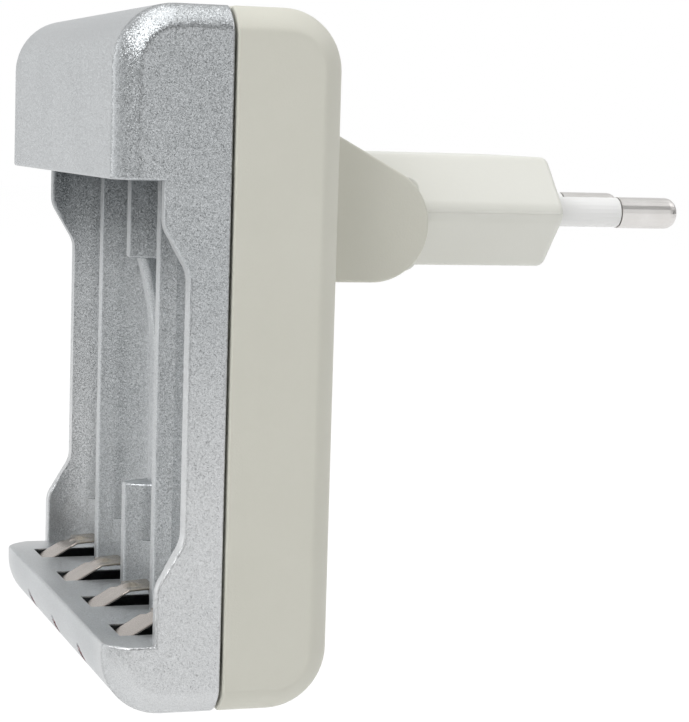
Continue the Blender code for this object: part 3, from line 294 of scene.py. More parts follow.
def scoop_cutter():
    """What the finger scoop removes: the crest over a rounded rib, and a channel each side."""
    shape = bmesh.new()
    rings = []
    for y, z in scoop_line():
        edge = min(0.9 * MM, CHANNEL - y - 0.04 * MM)
        right = rounded([(CHANNEL_HALF, CREST - 1 * MM, 0), (CHANNEL_HALF, CHANNEL, 0),
                         (RIB_HALF, CHANNEL, 0), (RIB_HALF, y, edge), (0, y, 0)], 5)
        left = [(-u, v) for u, v in reversed(right[:-1])]
        rings.append([shape.verts.new((u, v, z)) for u, v in right + left])
    for one, two in zip(rings, rings[1:]):
        for i in range(len(one)):
            j = (i + 1) % len(one)
            shape.faces.new((one[i], one[j], two[j], two[i]))
    shape.faces.new(rings[0])
    shape.faces.new(rings[-1])
    return mesh_piece("scoop", shape)


def round_scoop_ends(cover):
    """Rolls over the edges of the two posts that the scoop leaves of the middle ridge."""
    shape = bmesh.new()
    shape.from_mesh(cover.data)
    chosen = []
    for edge in shape.edges:
        one, two = edge.verts
        level = any(abs(one.co.z - z) < TOUCH and abs(two.co.z - z) < TOUCH
                    for z in (SCOOP_TOP, SCOOP_BOTTOM))
        near = max(abs(one.co.x), abs(two.co.x)) < 4 * MM and one.co.y < CREST + 3.2 * MM
        if level and near and len(edge.link_faces) == 2 and edge.is_convex:
            if edge.calc_face_angle() > math.radians(40):
                chosen.append(edge)
    bmesh.ops.bevel(shape, geom=chosen, offset=0.33 * MM, segments=4, profile=0.5,
                    affect='EDGES', clamp_overlap=False)
    shape.to_mesh(cover.data)
    shape.free()


def build_front_cover():
    """The cover cut from the case block: hollow behind, with the bays, holes and bosses."""
    tub = prism("tub", bays_outline(TUB_WALL), LEDGE - TUB_WALL, BAY_TOP + TUB_WALL, 'Z')
    deeper = [prism("deeper", groove_outline(x, TUB_WALL), STEP - TUB_WALL, BAY_TOP + TUB_WALL, 'Z')
              for x in BAYS]
    rear = [(y + TUB_WALL, z) for y, z in scoop_line()]
    lower, upper = SCOOP_BOTTOM - TUB_WALL, SCOOP_TOP + TUB_WALL
    backing = [(CREST, lower), (rear[0][0], lower), *rear[1:], (rear[-1][0], upper), (CREST, upper)]
    join(tub, 'UNION', *deeper, prism("backing", backing, -BACKING_HALF, BACKING_HALF, 'X'))
    hollow = case_block("hollow", WALL)
    spare = tub.copy()
    spare.data = tub.data.copy()
    bpy.context.scene.collection.objects.link(spare)
    join(hollow, 'DIFFERENCE', spare)
    far = HALF_WIDTH + BEYOND
    ahead = blocks("ahead", [(-far, far, FRONT - 2 * BEYOND, PARTING - PARTING_GAP / 2,
                              BOTTOM - BEYOND, TOP + BEYOND)])
    join(ahead, 'UNION', tub)
    cover = case_block("front_cover_painted", 0)
    join(cover, 'INTERSECT', ahead)
    wall_front = FRONT + 5.6 * MM
    wall_deep = FRONT + 8.7 * MM
    cut_top = BAY_TOP - 5.1 * MM
    cut_bottom = LEDGE + 6.6 * MM
    slope, bend = 5.2 * MM, 3.5 * MM
    opening = rounded([(FRONT - BEYOND, LEDGE, 0), (wall_front, LEDGE, 0),
                       (wall_front, cut_bottom, bend), (wall_deep, cut_bottom + slope, bend),
                       (wall_deep, cut_top - slope, bend), (wall_front, cut_top, bend),
                       (wall_front, BAY_TOP, 0), (FRONT - BEYOND, BAY_TOP, 0)], 10)
    room = prism("room", opening, -far, far, 'X')
    join(room, 'UNION', prism("bays", bays_outline(0), LEDGE, BAY_TOP, 'Z'))
    for x in BAYS:
        join(room, 'UNION', prism("groove", groove_outline(x, 0), STEP, BAY_TOP, 'Z'))
    tidy_faces(room)
    join(cover, 'DIFFERENCE', room)
    join(cover, 'DIFFERENCE', hollow)
    join(cover, 'DIFFERENCE', scoop_cutter())
    leaf_room, plate_room = 3.1 * MM, 2.9 * MM
    groove_back = GROOVE_AXIS + GROOVE_ROOM
    windows = []
    for x in BAYS:
        windows.append((x - leaf_room, x + leaf_room, FRONT + 2.9 * MM, FRONT + 12.9 * MM,
                        LEDGE - 2 * TUB_WALL, LEDGE + 1 * MM))
        windows.append((x - plate_room, x + plate_room, FRONT + 3.8 * MM, FRONT + 12.0 * MM,
                        BAY_TOP - 1 * MM, BAY_TOP + 2.5 * MM))
        windows.append((x - plate_room, x + plate_room, groove_back - 1 * MM,
                        groove_back + 3 * MM, STEP, STEP + 0.9 * MM))
    join(cover, 'DIFFERENCE', blocks("windows", windows))
    pockets = [(x - 3.8 * MM, x + 3.8 * MM, FRONT + 2.75 * MM, FRONT + 12.9 * MM,
                BAY_TOP + 0.5 * MM, BAY_TOP + 3 * MM) for x in BAYS]
    join(cover, 'DIFFERENCE', blocks("pockets", pockets))
    for radius, near, far_end in ((1.7 * MM, FRONT + 2.1 * MM, FRONT + 7 * MM),
                                  (1.2 * MM, FRONT - 2 * MM, FRONT + 2.5 * MM)):
        holes = [((x, BOTTOM + 4 * MM), radius, near, far_end) for x in LAMPS_ACROSS]
        join(cover, 'DIFFERENCE', rods("lamp_holes", holes, 'Y'))
    bosses = [((side * SCREW_ACROSS, SCREW_HEIGHT), 3 * MM, FRONT + 1.3 * MM, BOARD_FRONT)
              for side in (-1, 1)]
    join(cover, 'UNION', rods("bosses", bosses, 'Y'))
    pilots = [((side * SCREW_ACROSS, SCREW_HEIGHT), 1.3 * MM, BACK - 13.8 * MM, -39 * MM)
              for side in (-1, 1)]
    join(cover, 'DIFFERENCE', rods("pilots", pilots, 'Y'))
    tidy_faces(cover)

    def mouth(x, y, z):
        level = min(abs(z - BAY_TOP), abs(z - LEDGE)) < TOUCH and y < wall_front + TOUCH
        wall = abs(x) > BAYS[-1] + CELL_ROOM - 0.1 * MM and LEDGE - TOUCH < z < BAY_TOP + TOUCH
        return level or wall and wall_front - TOUCH < y < wall_deep + TOUCH

    def step(x, y, z):
        centred = min(abs(x - middle) for middle in BAYS) < 5.0 * MM
        return centred and abs(z - STEP) < TOUCH and y < FRONT + 14.2 * MM

    def rim(x, y, z):
        return near_outside(x, z) and abs(y - PARTING + PARTING_GAP / 2) < TOUCH

    round_edges(cover, EDGE_ROUND, mouth)
    round_edges(cover, 0.34 * MM, step)
    round_edges(cover, EDGE_ROUND, rim)
    round_scoop_ends(cover)
    return shade(cover)


front_cover = build_front_cover()


class Value:
    """A shader socket, so that Python's operators add Math nodes to it."""

    def __init__(self, nodes, socket):
        self.nodes = nodes
        self.socket = socket

    def _maths(self, operation, first, second):
        return self.nodes.node('ShaderNodeMath', {'operation': operation}, {0: first, 1: second})

    def __add__(self, other):
        return self._maths('ADD', self, other)

    def __radd__(self, other):
        return self._maths('ADD', other, self)

    def __sub__(self, other):
        return self._maths('SUBTRACT', self, other)

    def __rsub__(self, other):
        return self._maths('SUBTRACT', other, self)

    def __mul__(self, other):
        return self._maths('MULTIPLY', self, other)

    def __rmul__(self, other):
        return self._maths('MULTIPLY', other, self)

    def __pow__(self, other):
        return self._maths('POWER', self, other)

    def clip(self):
        return self.nodes.node('ShaderNodeClamp', {}, {'Value': self})


class Nodes:
    """A tree of shader nodes under construction."""

    def __init__(self, tree):
        self.tree = tree

    def node(self, kind, settings, sockets, output=0):
        """Adds a node of a type, with its settings and its sockets' values or links."""
        made = self.tree.nodes.new(kind)
        for name, value in settings.items():
            setattr(made, name, value)
        for name, value in sockets.items():
            if isinstance(value, Value):
                self.tree.links.new(value.socket, made.inputs[name])
            else:
                made.inputs[name].default_value = value
        return Value(self, made.outputs[output])


class Finish(Nodes):
    """A material under construction: its nodes, and the shader that they feed."""

    def __init__(self, name, **constants):
        self.material = bpy.data.materials.new(name)
        self.material.use_nodes = True
        super().__init__(self.material.node_tree)
        self.shader = self.tree.nodes["Principled BSDF"]
        for socket, value in constants.items():
            self.shader.inputs[socket.replace('_', ' ')].default_value = value

    def feed(self, socket, value):
        self.tree.links.new(value.socket, self.shader.inputs[socket])

    def place(self):
        return self.node('ShaderNodeTexCoord', {}, {}, 'Object')

    def grain(self, size, detail=2.0, stretch=(1, 1, 1)):
        """Noise with features of a size in metres, as a value round 0.5."""
        spot = self.node('ShaderNodeMapping', {}, {'Vector': self.place(), 'Scale': stretch})
        return self.node('ShaderNodeTexNoise', {}, {'Vector': spot, 'Scale': 1 / size,
                                                    'Detail': detail})

    def blend(self, amount, one, two):
        return self.node('ShaderNodeMix', {'data_type': 'RGBA'},
                         {'Factor': amount, 'A': one, 'B': two}, 'Result')

    def bump(self, height, distance):
        self.feed('Normal', self.node('ShaderNodeBump', {}, {'Height': height,
                                                             'Distance': distance}))


def rgb(red, green, blue):
    """A colour given as it looks on screen, 0 to 255, in the shader's linear values."""
    parts = [c / 255 for c in (red, green, blue)]
    return (*[c / 12.92 if c < 0.04 else ((c + 0.055) / 1.055) ** 2.4 for c in parts], 1)


def rise(value, start, run):
    """Nought where a value is at a start, and one where it is a run further on."""
    return (value - start) * (1 / run)


def fall(value, end, run):
    """Nought where a value is at an end, and one where it is a run short of it."""
    return (end - value) * (1 / run)


def make_silver_paint():
    """Silver paint with fine flakes. Its colour also holds some light and shade, which stay when
    the lamps change: dark in the bays under the header and at the windows' edges, and pale low on
    the case's outer parts."""
    paint = Finish("silver_paint", Metallic=0.85, Roughness=0.32)
    flakes = paint.node('ShaderNodeTexVoronoi', {'feature': 'F1'},
                        {'Vector': paint.place(), 'Scale': 1 / (0.08 * MM)}, 'Color')
    glint = paint.node('ShaderNodeSeparateColor', {}, {'Color': flakes}, 0)
    cloud = paint.grain(9 * MM)
    coat = paint.blend((glint * 0.8 + cloud * 0.2).clip(), rgb(148, 152, 154), rgb(214, 217, 219))
    across, back, up = (paint.node('ShaderNodeSeparateXYZ', {}, {'Vector': paint.place()}, i)
                        for i in range(3))
    inside = ((1 - across * across * (1 / (33.1 * MM) ** 2)) * 60).clip()
    behind_rim = rise(back, FRONT + 4 * MM, 3 * MM).clip()
    under_header = fall(up, BAY_TOP + 0.4 * MM, 0.2 * MM).clip()
    near_header = (1 - fall(up, BAY_TOP, 15 * MM)).clip()
    shade_in_bays = inside * behind_rim * under_header * near_header ** 1.2
    outer_part = ((across * across * (1 / (24.8 * MM) ** 2) - 1) * 1.3).clip()
    low_part = fall(up, -8 * MM, 24 * MM).clip()
    paled = paint.blend(outer_part * low_part * 0.42, coat, rgb(236, 236, 236))
    shaded = paint.blend(shade_in_bays * 0.86, paled, rgb(84, 89, 92))
    past_front = rise(back, FRONT + 2.7 * MM, 0.1 * MM).clip()
    below_ledge = fall(up, LEDGE - 0.1 * MM, 0.1 * MM).clip()
    near_ledge = rise(up, LEDGE - 3 * MM, 0.1 * MM).clip()
    window_edge = inside * past_front * below_ledge * near_ledge
    paint.feed('Base Color', paint.blend(window_edge * 0.93, shaded, rgb(36, 42, 46)))
    paint.feed('Roughness', 0.28 + glint * 0.08)
    centred = paint.node('ShaderNodeVectorMath', {'operation': 'SUBTRACT'},
                         {0: flakes, 1: (0.5, 0.5, 0.5)}, 'Vector')
    level = paint.node('ShaderNodeNewGeometry', {}, {}, 'Normal')
    tilt = paint.node('ShaderNodeVectorMath', {'operation': 'MULTIPLY_ADD'},
                      {0: centred, 1: (0.42, 0.42, 0.42), 2: level}, 'Vector')
    paint.feed('Normal', paint.node('ShaderNodeVectorMath', {'operation': 'NORMALIZE'}, {0: tilt},
                                    'Vector'))
    return paint.material


silver_paint = make_silver_paint()
front_cover.data.materials.clear()
front_cover.data.materials.append(silver_paint)
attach(front_cover, "case")
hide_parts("front_cover")


# Back cover
# The ivory half is a shallow tray moulded in plain, finely textured ABS. Two ears stand out of
# its back and carry the plug's hinge, and two deep holes take the screws that close the case.
HINGE_Y = -26.2 * MM
HINGE_Z = -1.5 * MM
EAR_INNER = 17.95 * MM
EAR_OUTER = 20.75 * MM
EAR_NOSE = 7 * MM
WELL = 2.6 * MM


def ear(side):
    """An ear with a round nose on the hinge, a level underside and a sloping top."""
    root = BACK - WALL / 2
    corner = Vector((root, HINGE_Z + 12.6 * MM))
    spoke = corner - Vector((HINGE_Y, HINGE_Z))
    tangent = math.degrees(math.atan2(spoke.y, spoke.x) - math.acos(EAR_NOSE / spoke.length))
    outline = [(root, HINGE_Z - EAR_NOSE),
               *arc((HINGE_Y, HINGE_Z), EAR_NOSE, -90, tangent, 40), tuple(corner)]
    low, high = sorted((side * EAR_INNER, side * EAR_OUTER))
    return prism("ear", outline, low, high, 'X')


def build_back_cover():
    """The cover cut from the case block: hollow in front, with ears, pillars, wells and slots."""
    far = HALF_WIDTH + BEYOND
    cover = case_block("back_cover_moulded", 0)
    join(cover, 'INTERSECT', blocks("behind", [(-far, far, PARTING + PARTING_GAP / 2, BACK + BEYOND,
                                               BOTTOM - BEYOND, TOP + BEYOND)]))
    join(cover, 'UNION', ear(-1), ear(1))
    join(cover, 'DIFFERENCE', case_block("back_hollow", WALL))
    inside = BACK - 1.3 * MM
    seat = -37.2 * MM
    pillars = [((side * SCREW_ACROSS, SCREW_HEIGHT), 3 * MM, seat, inside) for side in (-1, 1)]
    pillars += [((side * 24 * MM, z), 2 * MM, seat, inside) for side in (-1, 1)
                for z in (LEDGE + 4 * MM, BAY_TOP - 14.3 * MM)]
    join(cover, 'UNION', rods("pillars", pillars, 'Y'))
    wells = [((side * SCREW_ACROSS, SCREW_HEIGHT), WELL, BACK - 1.9 * MM, BACK + 1 * MM)
             for side in (-1, 1)]
    join(cover, 'DIFFERENCE', rods("wells", wells, 'Y'))
    shanks = [((side * SCREW_ACROSS, SCREW_HEIGHT), 1.45 * MM, seat - 1 * MM, BACK)
              for side in (-1, 1)]
    join(cover, 'DIFFERENCE', rods("shanks", shanks, 'Y'))
    bores = [((HINGE_Y, HINGE_Z), 2.2 * MM, -19.6 * MM, 19.6 * MM)]
    join(cover, 'DIFFERENCE', rods("bores", bores, 'X'))
    slots = [(x - 1.8 * MM, x + 1.8 * MM, BACK - 2.8 * MM, BACK + 0.5 * MM,
              HINGE_Z - 4.6 * MM, HINGE_Z + 4.2 * MM) for x in (-9.82 * MM, 9.82 * MM)]
    join(cover, 'DIFFERENCE', blocks("slots", slots))
    tidy_faces(cover)

    def rim(x, y, z):
        return near_outside(x, z) and abs(y - PARTING - PARTING_GAP / 2) < TOUCH

    def on_ear(x, y, z):
        across = EAR_INNER - TOUCH < abs(x) < EAR_OUTER + TOUCH
        return across and y > BACK - TOUCH and math.hypot(y - HINGE_Y, z - HINGE_Z) > 3 * MM

    def on_well(x, y, z):
        out = math.hypot(abs(x) - SCREW_ACROSS, z - SCREW_HEIGHT)
        return abs(y - BACK) < TOUCH and out < WELL + 0.1 * MM

    round_edges(cover, EDGE_ROUND, rim)
    round_edges(cover, 0.42 * MM, on_ear)
    round_edges(cover, 0.25 * MM, on_well)
    return shade(cover)


back_cover = build_back_cover()


def make_ivory_plastic():
    plastic = Finish("ivory_plastic", Roughness=0.5)
    cloud = plastic.grain(14 * MM)
    plastic.feed('Base Color', plastic.blend(cloud, rgb(211, 210, 198), rgb(217, 216, 205)))
    speck = plastic.grain(0.22 * MM, detail=3.0)
    plastic.feed('Roughness', 0.44 + speck * 0.14)
    plastic.bump(speck, 0.02 * MM)
    return plastic.material


back_cover.data.materials.clear()
back_cover.data.materials.append(make_ivory_plastic())
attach(back_cover, "case")
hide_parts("back_cover")


# Plug
# The flat two-pin plug is one solid moulding: a six-sided body, a round hinge block behind it and
# two trunnions that turn in the ears. It is ivory plastic too, a little paler and glossier.
BLOCK_ROUND = 6.9 * MM
CUT_ROUND = 6.8 * MM


def build_plug():
    """The plug as a pushed section cut round behind, with block, trunnions and pin bores."""
    section = []
    for u, v in ((-1, -1), (1, -1), (2, 0), (1, 1), (-1, 1), (-2, 0)):
        if abs(u) == 2:
            section.append((u / 2 * 18.3 * MM, 0, 2.0 * MM))
        else:
            section.append((u * 11.6 * MM, v * 6.9 * MM, 1.8 * MM))
    plug = prism("plug_moulded", rounded(section, 6), HINGE_Y - BLOCK_ROUND, 0, 'Y')
    rim = plug.modifiers.new("rim", 'BEVEL')
    rim.width = 1.0 * MM
    rim.segments = 5
    rim.limit_method = 'ANGLE'
    rim.angle_limit = math.radians(40)
    settle(plug)
    rear = HINGE_Y - 7.9 * MM
    crown = 8.6 * MM
    steep = math.degrees(math.acos(-CUT_ROUND / crown))
    over = [*arc((HINGE_Y, HINGE_Z), crown, 80, steep, 20),
            *arc((HINGE_Y, HINGE_Z), CUT_ROUND, 180, 270, 20)]
    behind = [*over, (HINGE_Y, -BEYOND), (rear, -BEYOND), (rear, BEYOND), (over[0][0], BEYOND)]
    join(plug, 'DIFFERENCE', prism("plug_end", behind, -BEYOND, BEYOND, 'X'))
    nose, corner = HINGE_Y + 6.8 * MM, 1.8 * MM
    block = [*arc((HINGE_Y, HINGE_Z), BLOCK_ROUND, 90, 270, 40),
             *rounded([(nose, HINGE_Z - BLOCK_ROUND, corner),
                       (nose, HINGE_Z + BLOCK_ROUND, corner),
                       (HINGE_Y - BLOCK_ROUND, HINGE_Z, 0)])[:-1]]
    block_half = 17.65 * MM
    join(plug, 'UNION', prism("hinge_block", block, -block_half, block_half, 'X'))
    tidy_faces(plug)
    round_edges(plug, 0.3 * MM, lambda *spot: True)
    reach = 19.3 * MM
    join(plug, 'UNION', rods("trunnions", [((HINGE_Y, HINGE_Z), 1.9 * MM, -reach, reach)], 'X'))
    for side in (-1, 1):
        lean = Matrix.Rotation(side * math.atan(0.3 / 19), 4, 'Z')
        along = lean @ Matrix.Rotation(-math.pi / 2, 4, 'X')
        root = Matrix.Translation((side * 9.3 * MM, 0, 0)) @ along
        for radius, low, high in ((2.05, -3.45, 1), (1.65, -42, -3.4)):
            middle = Matrix.Translation((0, 0, (low + high) / 2 * MM))
            shape = bmesh.new()
            bmesh.ops.create_cone(shape, cap_ends=True, segments=48, radius1=radius * MM,
                                  radius2=radius * MM, depth=(high - low) * MM,
                                  matrix=root @ middle)
            join(plug, 'DIFFERENCE', mesh_piece("bore", shape))
    return shade(plug)


plug = build_plug()


def make_plug_plastic():
    plastic = Finish("plug_plastic", Roughness=0.36)
    cloud = plastic.grain(11 * MM)
    plastic.feed('Base Color', plastic.blend(cloud, rgb(222, 222, 214), rgb(228, 228, 221)))
    fine = plastic.grain(0.5 * MM)
    plastic.feed('Roughness', 0.32 + fine * 0.1)
    height = plastic.node('ShaderNodeSeparateXYZ', {}, {'Vector': plastic.place()}, 2)
    seam = (1 - height * height * (1 / (0.14 * MM) ** 2)).clip()
    plastic.bump(fine * 0.1 + seam, 0.06 * MM)
    return plastic.material


plug.data.materials.clear()
plug.data.materials.append(make_plug_plastic())
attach(plug, "plug")
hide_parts("plug_body")


# Pins and sleeves
# Two turned brass pins with round tips, nickel plated all over, are moulded into the plug. A white
# nylon sleeve insulates the half of each pin next to the plug.
def make_nickel():
    """Nickel plate, drawn along Y. Its colour holds some light and shade too: the leaf contacts
    are darker on their crowns than on their fronts, and the pins are palest."""
    nickel = Finish("nickel", Metallic=0.95, Roughness=0.24)
    streak = nickel.grain(0.12 * MM, stretch=(1, 0.08, 1))
    cloud = nickel.grain(2.5 * MM)
    back = nickel.node('ShaderNodeSeparateXYZ', {}, {'Vector': nickel.place()}, 1)
    pins = nickel.blend(cloud, rgb(218, 215, 212), rgb(233, 231, 229))
    leaves = nickel.blend(cloud, rgb(164, 157, 151), rgb(188, 181, 174))
    on_crown = rise(back, FRONT + 7.3 * MM, 1 * MM).clip()
    springs = nickel.blend(on_crown, leaves, rgb(138, 130, 117))
    on_pin = rise(back, -40 * MM, 20 * MM).clip()
    nickel.feed('Base Color', nickel.blend(on_pin, springs, pins))
    nickel.feed('Roughness', 0.17 + on_pin * 0.14 + streak * 0.14)
    nickel.bump(streak, 0.004 * MM)
    return nickel.material


def make_sleeve_plastic():
    plastic = Finish("white_plastic", Roughness=0.4)
    cloud = plastic.grain(5 * MM)
    plastic.feed('Base Color', plastic.blend(cloud, rgb(236, 236, 235), rgb(241, 241, 240)))
    plastic.feed('Roughness', 0.36 + plastic.grain(0.4 * MM) * 0.1)
    return plastic.material


def refinish(material, slot, *nodes):
    """Gives CAD nodes their finished material in place of all they had, and smooths their shading.
    The slot is not used.
    """
    for name in nodes:
        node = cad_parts[name]
        node.data.materials.clear()
        node.data.materials.append(material)
        node.data.shade_smooth()
        node.data.set_sharp_from_angle(angle=math.radians(30))


nickel = make_nickel()
refinish(nickel, "nickel", "pin_left", "pin_right")
white_plastic = make_sleeve_plastic()
refinish(white_plastic, "white_plastic", "pin_sleeve_left", "pin_sleeve_right")


# Battery contacts
# Each bay has a bent nickelled leaf below, a plate above and a tab at the step for the thinner
# cell. They are stamped from thin strip and slid into the front cover from behind. A pip raised
# in each leaf presses on the cell, and a notch is cut in the leaf's edge beside it.
STRIP = 0.3 * MM
LEAF_FRONT = FRONT + 3.25 * MM
LEAF_CROWN = FRONT + 8.6 * MM
LEAF_HALF = 2.8 * MM


def leaf_line():
    """The middle of a leaf's strip in (y, z), at even short steps from its foot to its tip."""
    foot = LEDGE - 2.7 * MM
    top = LEDGE + 1.95 * MM
    bends = rounded([(BACK - 5.4 * MM, foot, 0), (LEAF_FRONT, foot, 0.5 * MM),
                     (LEAF_FRONT, LEDGE - 0.9 * MM, 0.6 * MM),
                     (LEAF_FRONT + 4.45 * MM, top - 0.25 * MM, 1.2 * MM),
                     (LEAF_FRONT + 7.95 * MM, top, 0.5 * MM),
                     (LEAF_FRONT + 8.45 * MM, LEDGE - 0.6 * MM, 0)], 6)
    line = [Vector(bends[0])]
    for point in bends[1:]:
        start, end = line[-1], Vector(point)
        count = max(1, round((end - start).length / (0.25 * MM)))
        line += [start.lerp(end, k / count) for k in range(1, count + 1)]
    return line


def leaf(name, x):
    """A leaf as a strip of two skins, pushed up over the pip and drawn in at the notch."""
    line = leaf_line()
    across = 24
    shape = bmesh.new()
    rows = []
    for i, spot in enumerate(line):
        along = (line[min(i + 1, len(line) - 1)] - line[max(i - 1, 0)]).normalized()
        normal = Vector((-along.y, along.x))
        upper = spot.y > LEDGE
        aside = abs(spot.x - LEAF_CROWN + 1.3 * MM) / (0.55 * MM)
        notch = 1.3 * MM * max(0, 1 - aside ** 4) * upper
        row = []
        for side in (1, -1):
            for k in range(across + 1):
                u = notch - LEAF_HALF + k / across * (2 * LEAF_HALF - notch)
                rim = min(k, across - k) == 0
                near = min(1, math.hypot(u, spot.x - LEAF_CROWN) / (1.6 * MM))
                pip = 0.35 * MM * (1 - near ** 2) ** 2 * upper
                place = spot + normal * (side * (STRIP / 2 - rim * 0.07 * MM) + pip)
                row.append(shape.verts.new((x + u, place.x, place.y)))
        rows.append(row)
    flat = across + 1
    for one, two in zip(rows, rows[1:]):
        for k in range(across):
            shape.faces.new((one[k], one[k + 1], two[k + 1], two[k]))
            shape.faces.new((one[flat + k + 1], one[flat + k], two[flat + k], two[flat + k + 1]))
        for k in (0, across):
            shape.faces.new((one[k], two[k], two[flat + k], one[flat + k]))
    for row in (rows[0], rows[-1]):
        for k in range(across):
            shape.faces.new((row[k], row[k + 1], row[flat + k + 1], row[flat + k]))
    strip = mesh_piece(name, shape)
    strip.data.materials.append(nickel)
    return shade(strip, 70)


for i, x in enumerate(BAYS):
    blade = leaf(f"leaf_{i + 1}", x)
    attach(blade, "case")
    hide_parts(f"leaf_contact_{i + 1}")
refinish(nickel, "nickel", *[f"positive_contact_{i}" for i in (1, 2, 3, 4)],
         *[f"small_cell_contact_{i}" for i in (1, 2, 3, 4)])


# Contact holder
# A comb of black nylon sits under the ledge, with a rail behind and a tray for each leaf's foot.
# It holds the four leaves apart, and only the windows in the ledge show it.
def make_black_plastic():
    plastic = Finish("black_plastic", Roughness=0.5, Specular_IOR_Level=0.15)
    speck = plastic.grain(0.3 * MM, detail=3.0)
    plastic.feed('Base Color', plastic.blend(plastic.grain(4 * MM), rgb(7, 7, 8), rgb(12, 12, 13)))
    plastic.feed('Roughness', 0.4 + speck * 0.2)
    plastic.bump(speck, 0.01 * MM)
    return plastic.material


black_plastic = make_black_plastic()
refinish(black_plastic, "black_plastic", "contact_holder")


# Circuit board
# The board is 1.6 mm glass-fibre laminate under a green solder mask. It sits on pegs between the
# bays and the back, and the bays' contacts are soldered to it.
def make_board_green():
    board = Finish("board_green", Roughness=0.35)
    weave = board.node('ShaderNodeTexBrick', {'offset': 0.5},
                       {'Vector': board.place(), 'Scale': 1 / (1.4 * MM), 'Mortar Size': 0.08,
                        'Color1': rgb(28, 92, 52), 'Color2': rgb(32, 100, 58),
                        'Mortar': rgb(24, 80, 46)}, 'Color')
    board.feed('Base Color', weave)
    board.feed('Roughness', 0.3 + board.grain(1.2 * MM) * 0.15)
    return board.material


refinish(make_board_green(), "board_green", "circuit_board")


# Transformer
# A small ferrite core with two windows carries a coil on its middle leg, wrapped in yellow
# polyester tape. It stands on the board inside the header.
def make_ferrite():
    ferrite = Finish("ferrite", Roughness=0.6)
    pores = ferrite.grain(0.4 * MM, detail=4.0)
    ferrite.feed('Base Color', ferrite.blend(pores, rgb(66, 66, 68), rgb(92, 92, 95)))
    ferrite.feed('Roughness', 0.5 + pores * 0.2)
    ferrite.bump(pores, 0.03 * MM)
    return ferrite.material


def make_coil_tape():
    tape = Finish("coil_tape", Roughness=0.3)
    turns = tape.node('ShaderNodeTexWave', {'bands_direction': 'Z'},
                      {'Vector': tape.place(), 'Scale': 1 / (6 * MM), 'Distortion': 0.4})
    tape.feed('Base Color', tape.blend(turns, rgb(214, 172, 44), rgb(232, 196, 70)))
    tape.feed('Roughness', 0.24 + tape.grain(0.8 * MM) * 0.16)
    tape.bump(turns, 0.03 * MM)
    return tape.material


refinish(make_ferrite(), "ferrite", "transformer_core")
refinish(make_coil_tape(), "coil_tape", "transformer_coil")


# Capacitors, chips and fuse
# The supply's two electrolytic capacitors wear dark shrink sleeves. The rectifier and the two
# chips are moulded in black epoxy, and a white ceramic tube holds the fuse. All are soldered in.
def make_can_sleeve():
    sleeve = Finish("can_sleeve", Roughness=0.3)
    creases = sleeve.grain(0.9 * MM, stretch=(1, 1, 0.3))
    sleeve.feed('Base Color', sleeve.blend(creases, rgb(34, 38, 62), rgb(44, 50, 78)))
    sleeve.feed('Roughness', 0.24 + creases * 0.14)
    sleeve.bump(creases, 0.02 * MM)
    return sleeve.material


refinish(make_can_sleeve(), "can_sleeve", "mains_capacitor", "output_capacitor")
refinish(black_plastic, "black_plastic", "rectifier", "switching_chip", "charge_controller")
refinish(white_plastic, "white_plastic", "fuse")


# Case screws and mains blades
# Two zinc-plated thread-forming screws close the case from behind. Two plated bronze blades on
# the board press on the pins' tails when the plug is folded out.
def make_zinc():
    zinc = Finish("steel", Metallic=1.0, Roughness=0.35)
    streak = zinc.grain(0.15 * MM, detail=3.0, stretch=(1, 0.2, 1))
    zinc.feed('Base Color', zinc.blend(streak, rgb(168, 169, 172), rgb(196, 197, 199)))
    zinc.feed('Roughness', 0.28 + streak * 0.18)
    zinc.bump(streak, 0.005 * MM)
    return zinc.material


refinish(make_zinc(), "steel", "screw_left", "screw_right")
refinish(nickel, "nickel", "mains_blade_left", "mains_blade_right")


# Lamps
# Three red 3 mm indicator lamps stand on the board's lower edge and look out of round holes in
# the ledge, one under each ridge. They are cast in clear, red-dyed epoxy.
def make_red_lens():
    lens = Finish("red_lens", Roughness=0.12)
    depth = lens.grain(1.5 * MM)
    lens.feed('Base Color', lens.blend(depth, rgb(166, 22, 40), rgb(198, 40, 56)))
    return lens.material


refinish(make_red_lens(), "red_lens", "lamp_1", "lamp_2", "lamp_3")


# Floor and studio
# A pale floor lies below the charger, which hangs by its plug, and shows a faint soft shadow. The
# surround looks white to the camera, and lights the charger mainly from the side away from it.
def build_floor():
    shape = bmesh.new()
    bmesh.ops.create_grid(shape, x_segments=1, y_segments=1, size=3.0)
    floor = mesh_piece("studio_floor", shape)
    floor.location.z = BOTTOM - 30 * MM
    white = Finish("floor_white", Roughness=0.9)
    white.shader.inputs['Base Color'].default_value = (0.86, 0.86, 0.86, 1)
    seen = white.node('ShaderNodeLightPath', {}, {}, 'Is Camera Ray')
    mirrored = white.node('ShaderNodeLightPath', {}, {}, 'Is Glossy Ray')
    lit = white.node('ShaderNodeEmission', {}, {'Color': (1, 1, 1, 1), 'Strength': 1.06})
    mixed = white.node('ShaderNodeMixShader', {}, {0: (seen + mirrored * 0.9).clip() * 0.92,
                                                   1: Value(white, white.shader.outputs[0]), 2: lit})
    white.tree.links.new(mixed.socket, white.tree.nodes["Material Output"].inputs['Surface'])
    floor.data.materials.append(white.material)


build_floor()


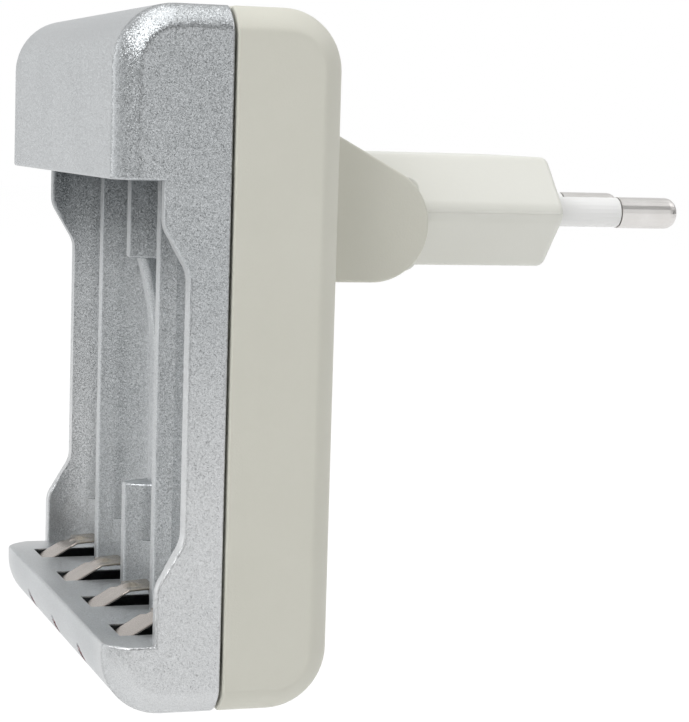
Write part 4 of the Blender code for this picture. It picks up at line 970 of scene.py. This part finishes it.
def build_surround():
    world = bpy.data.worlds.new("studio")
    bpy.context.scene.world = world
    world.use_nodes = True
    studio = Nodes(world.node_tree)
    watched = studio.node('ShaderNodeLightPath', {}, {}, 'Is Camera Ray')
    through = studio.node('ShaderNodeLightPath', {}, {}, 'Is Transmission Ray')
    seen = studio.node('ShaderNodeMath', {'operation': 'MAXIMUM'}, {0: watched, 1: through})
    towards = studio.node('ShaderNodeTexCoord', {}, {}, 'Generated')
    across = studio.node('ShaderNodeSeparateXYZ', {}, {0: towards}, 'X')
    side = studio.node('ShaderNodeMapRange', {'interpolation_type': 'SMOOTHSTEP'},
                       {'Value': across, 'From Min': 0.2, 'From Max': -0.9, 'To Min': 0.02,
                        'To Max': 0.83})
    strength = studio.node('ShaderNodeMix', {'data_type': 'FLOAT'},
                           {'Factor': seen, 'A': side, 'B': 1.0})
    light = studio.tree.nodes["Background"]
    light.inputs['Color'].default_value = (1, 1, 1, 1)
    studio.tree.links.new(strength.socket, light.inputs['Strength'])


build_surround()


def studio_light(name, power, spot):
    """A square soft light, out of the camera's sight, turned to the charger's middle."""
    data = bpy.data.lights.new(name, 'AREA')
    data.shape = 'SQUARE'
    data.size = 0.8
    data.energy = power
    thing = bpy.data.objects.new(name, data)
    bpy.context.scene.collection.objects.link(thing)
    thing.visible_camera = False
    thing.location = spot
    aim = Vector((0, -0.03, -0.02)) - Vector(spot)
    thing.rotation_euler = aim.to_track_quat('-Z', 'Y').to_euler()


studio_light("overhead", 5.0, (0, -0.1, 1.1))
studio_light("front_right", 8.2, (0.5, -0.75, 0.8))
studio_light("front_left", 1.9, (-0.6, -0.95, 0.2))
studio_light("right", 1.9, (1.0, 0.5, 0.3))
studio_light("behind", 3.5, (0.1, 0.85, 0.8))


# Camera
# The camera looks at the charger's side and a sliver of its front from close by, a little above
# the middle. Its focal length is known in picture lines, out of the picture's whole height.
EYE = (0.2786, -0.11466, 0.00995)
FOCAL_LINES = 2278
PICTURE_LINES = 722


def build_camera():
    yaw, pitch, roll = (math.radians(a) for a in (18.286, 5.859, 1.707))
    ahead = Vector((-math.cos(yaw) * math.cos(pitch), math.sin(yaw) * math.cos(pitch),
                    -math.sin(pitch)))
    right = Vector((math.sin(yaw), math.cos(yaw), 0))
    up = right.cross(ahead)
    turned_right = math.cos(roll) * right + math.sin(roll) * up
    turned_up = -math.sin(roll) * right + math.cos(roll) * up
    data = bpy.data.cameras.new("camera")
    data.sensor_width = 36
    data.lens = FOCAL_LINES * data.sensor_width / PICTURE_LINES
    data.clip_start = 0.001
    camera = bpy.data.objects.new("camera", data)
    bpy.context.scene.collection.objects.link(camera)
    camera.matrix_world = Matrix.Translation(EYE) @ Matrix(
        (turned_right, turned_up, -ahead)).transposed().to_4x4()
    bpy.context.scene.camera = camera


build_camera()
bpy.context.scene.view_settings.view_transform = 'Standard'
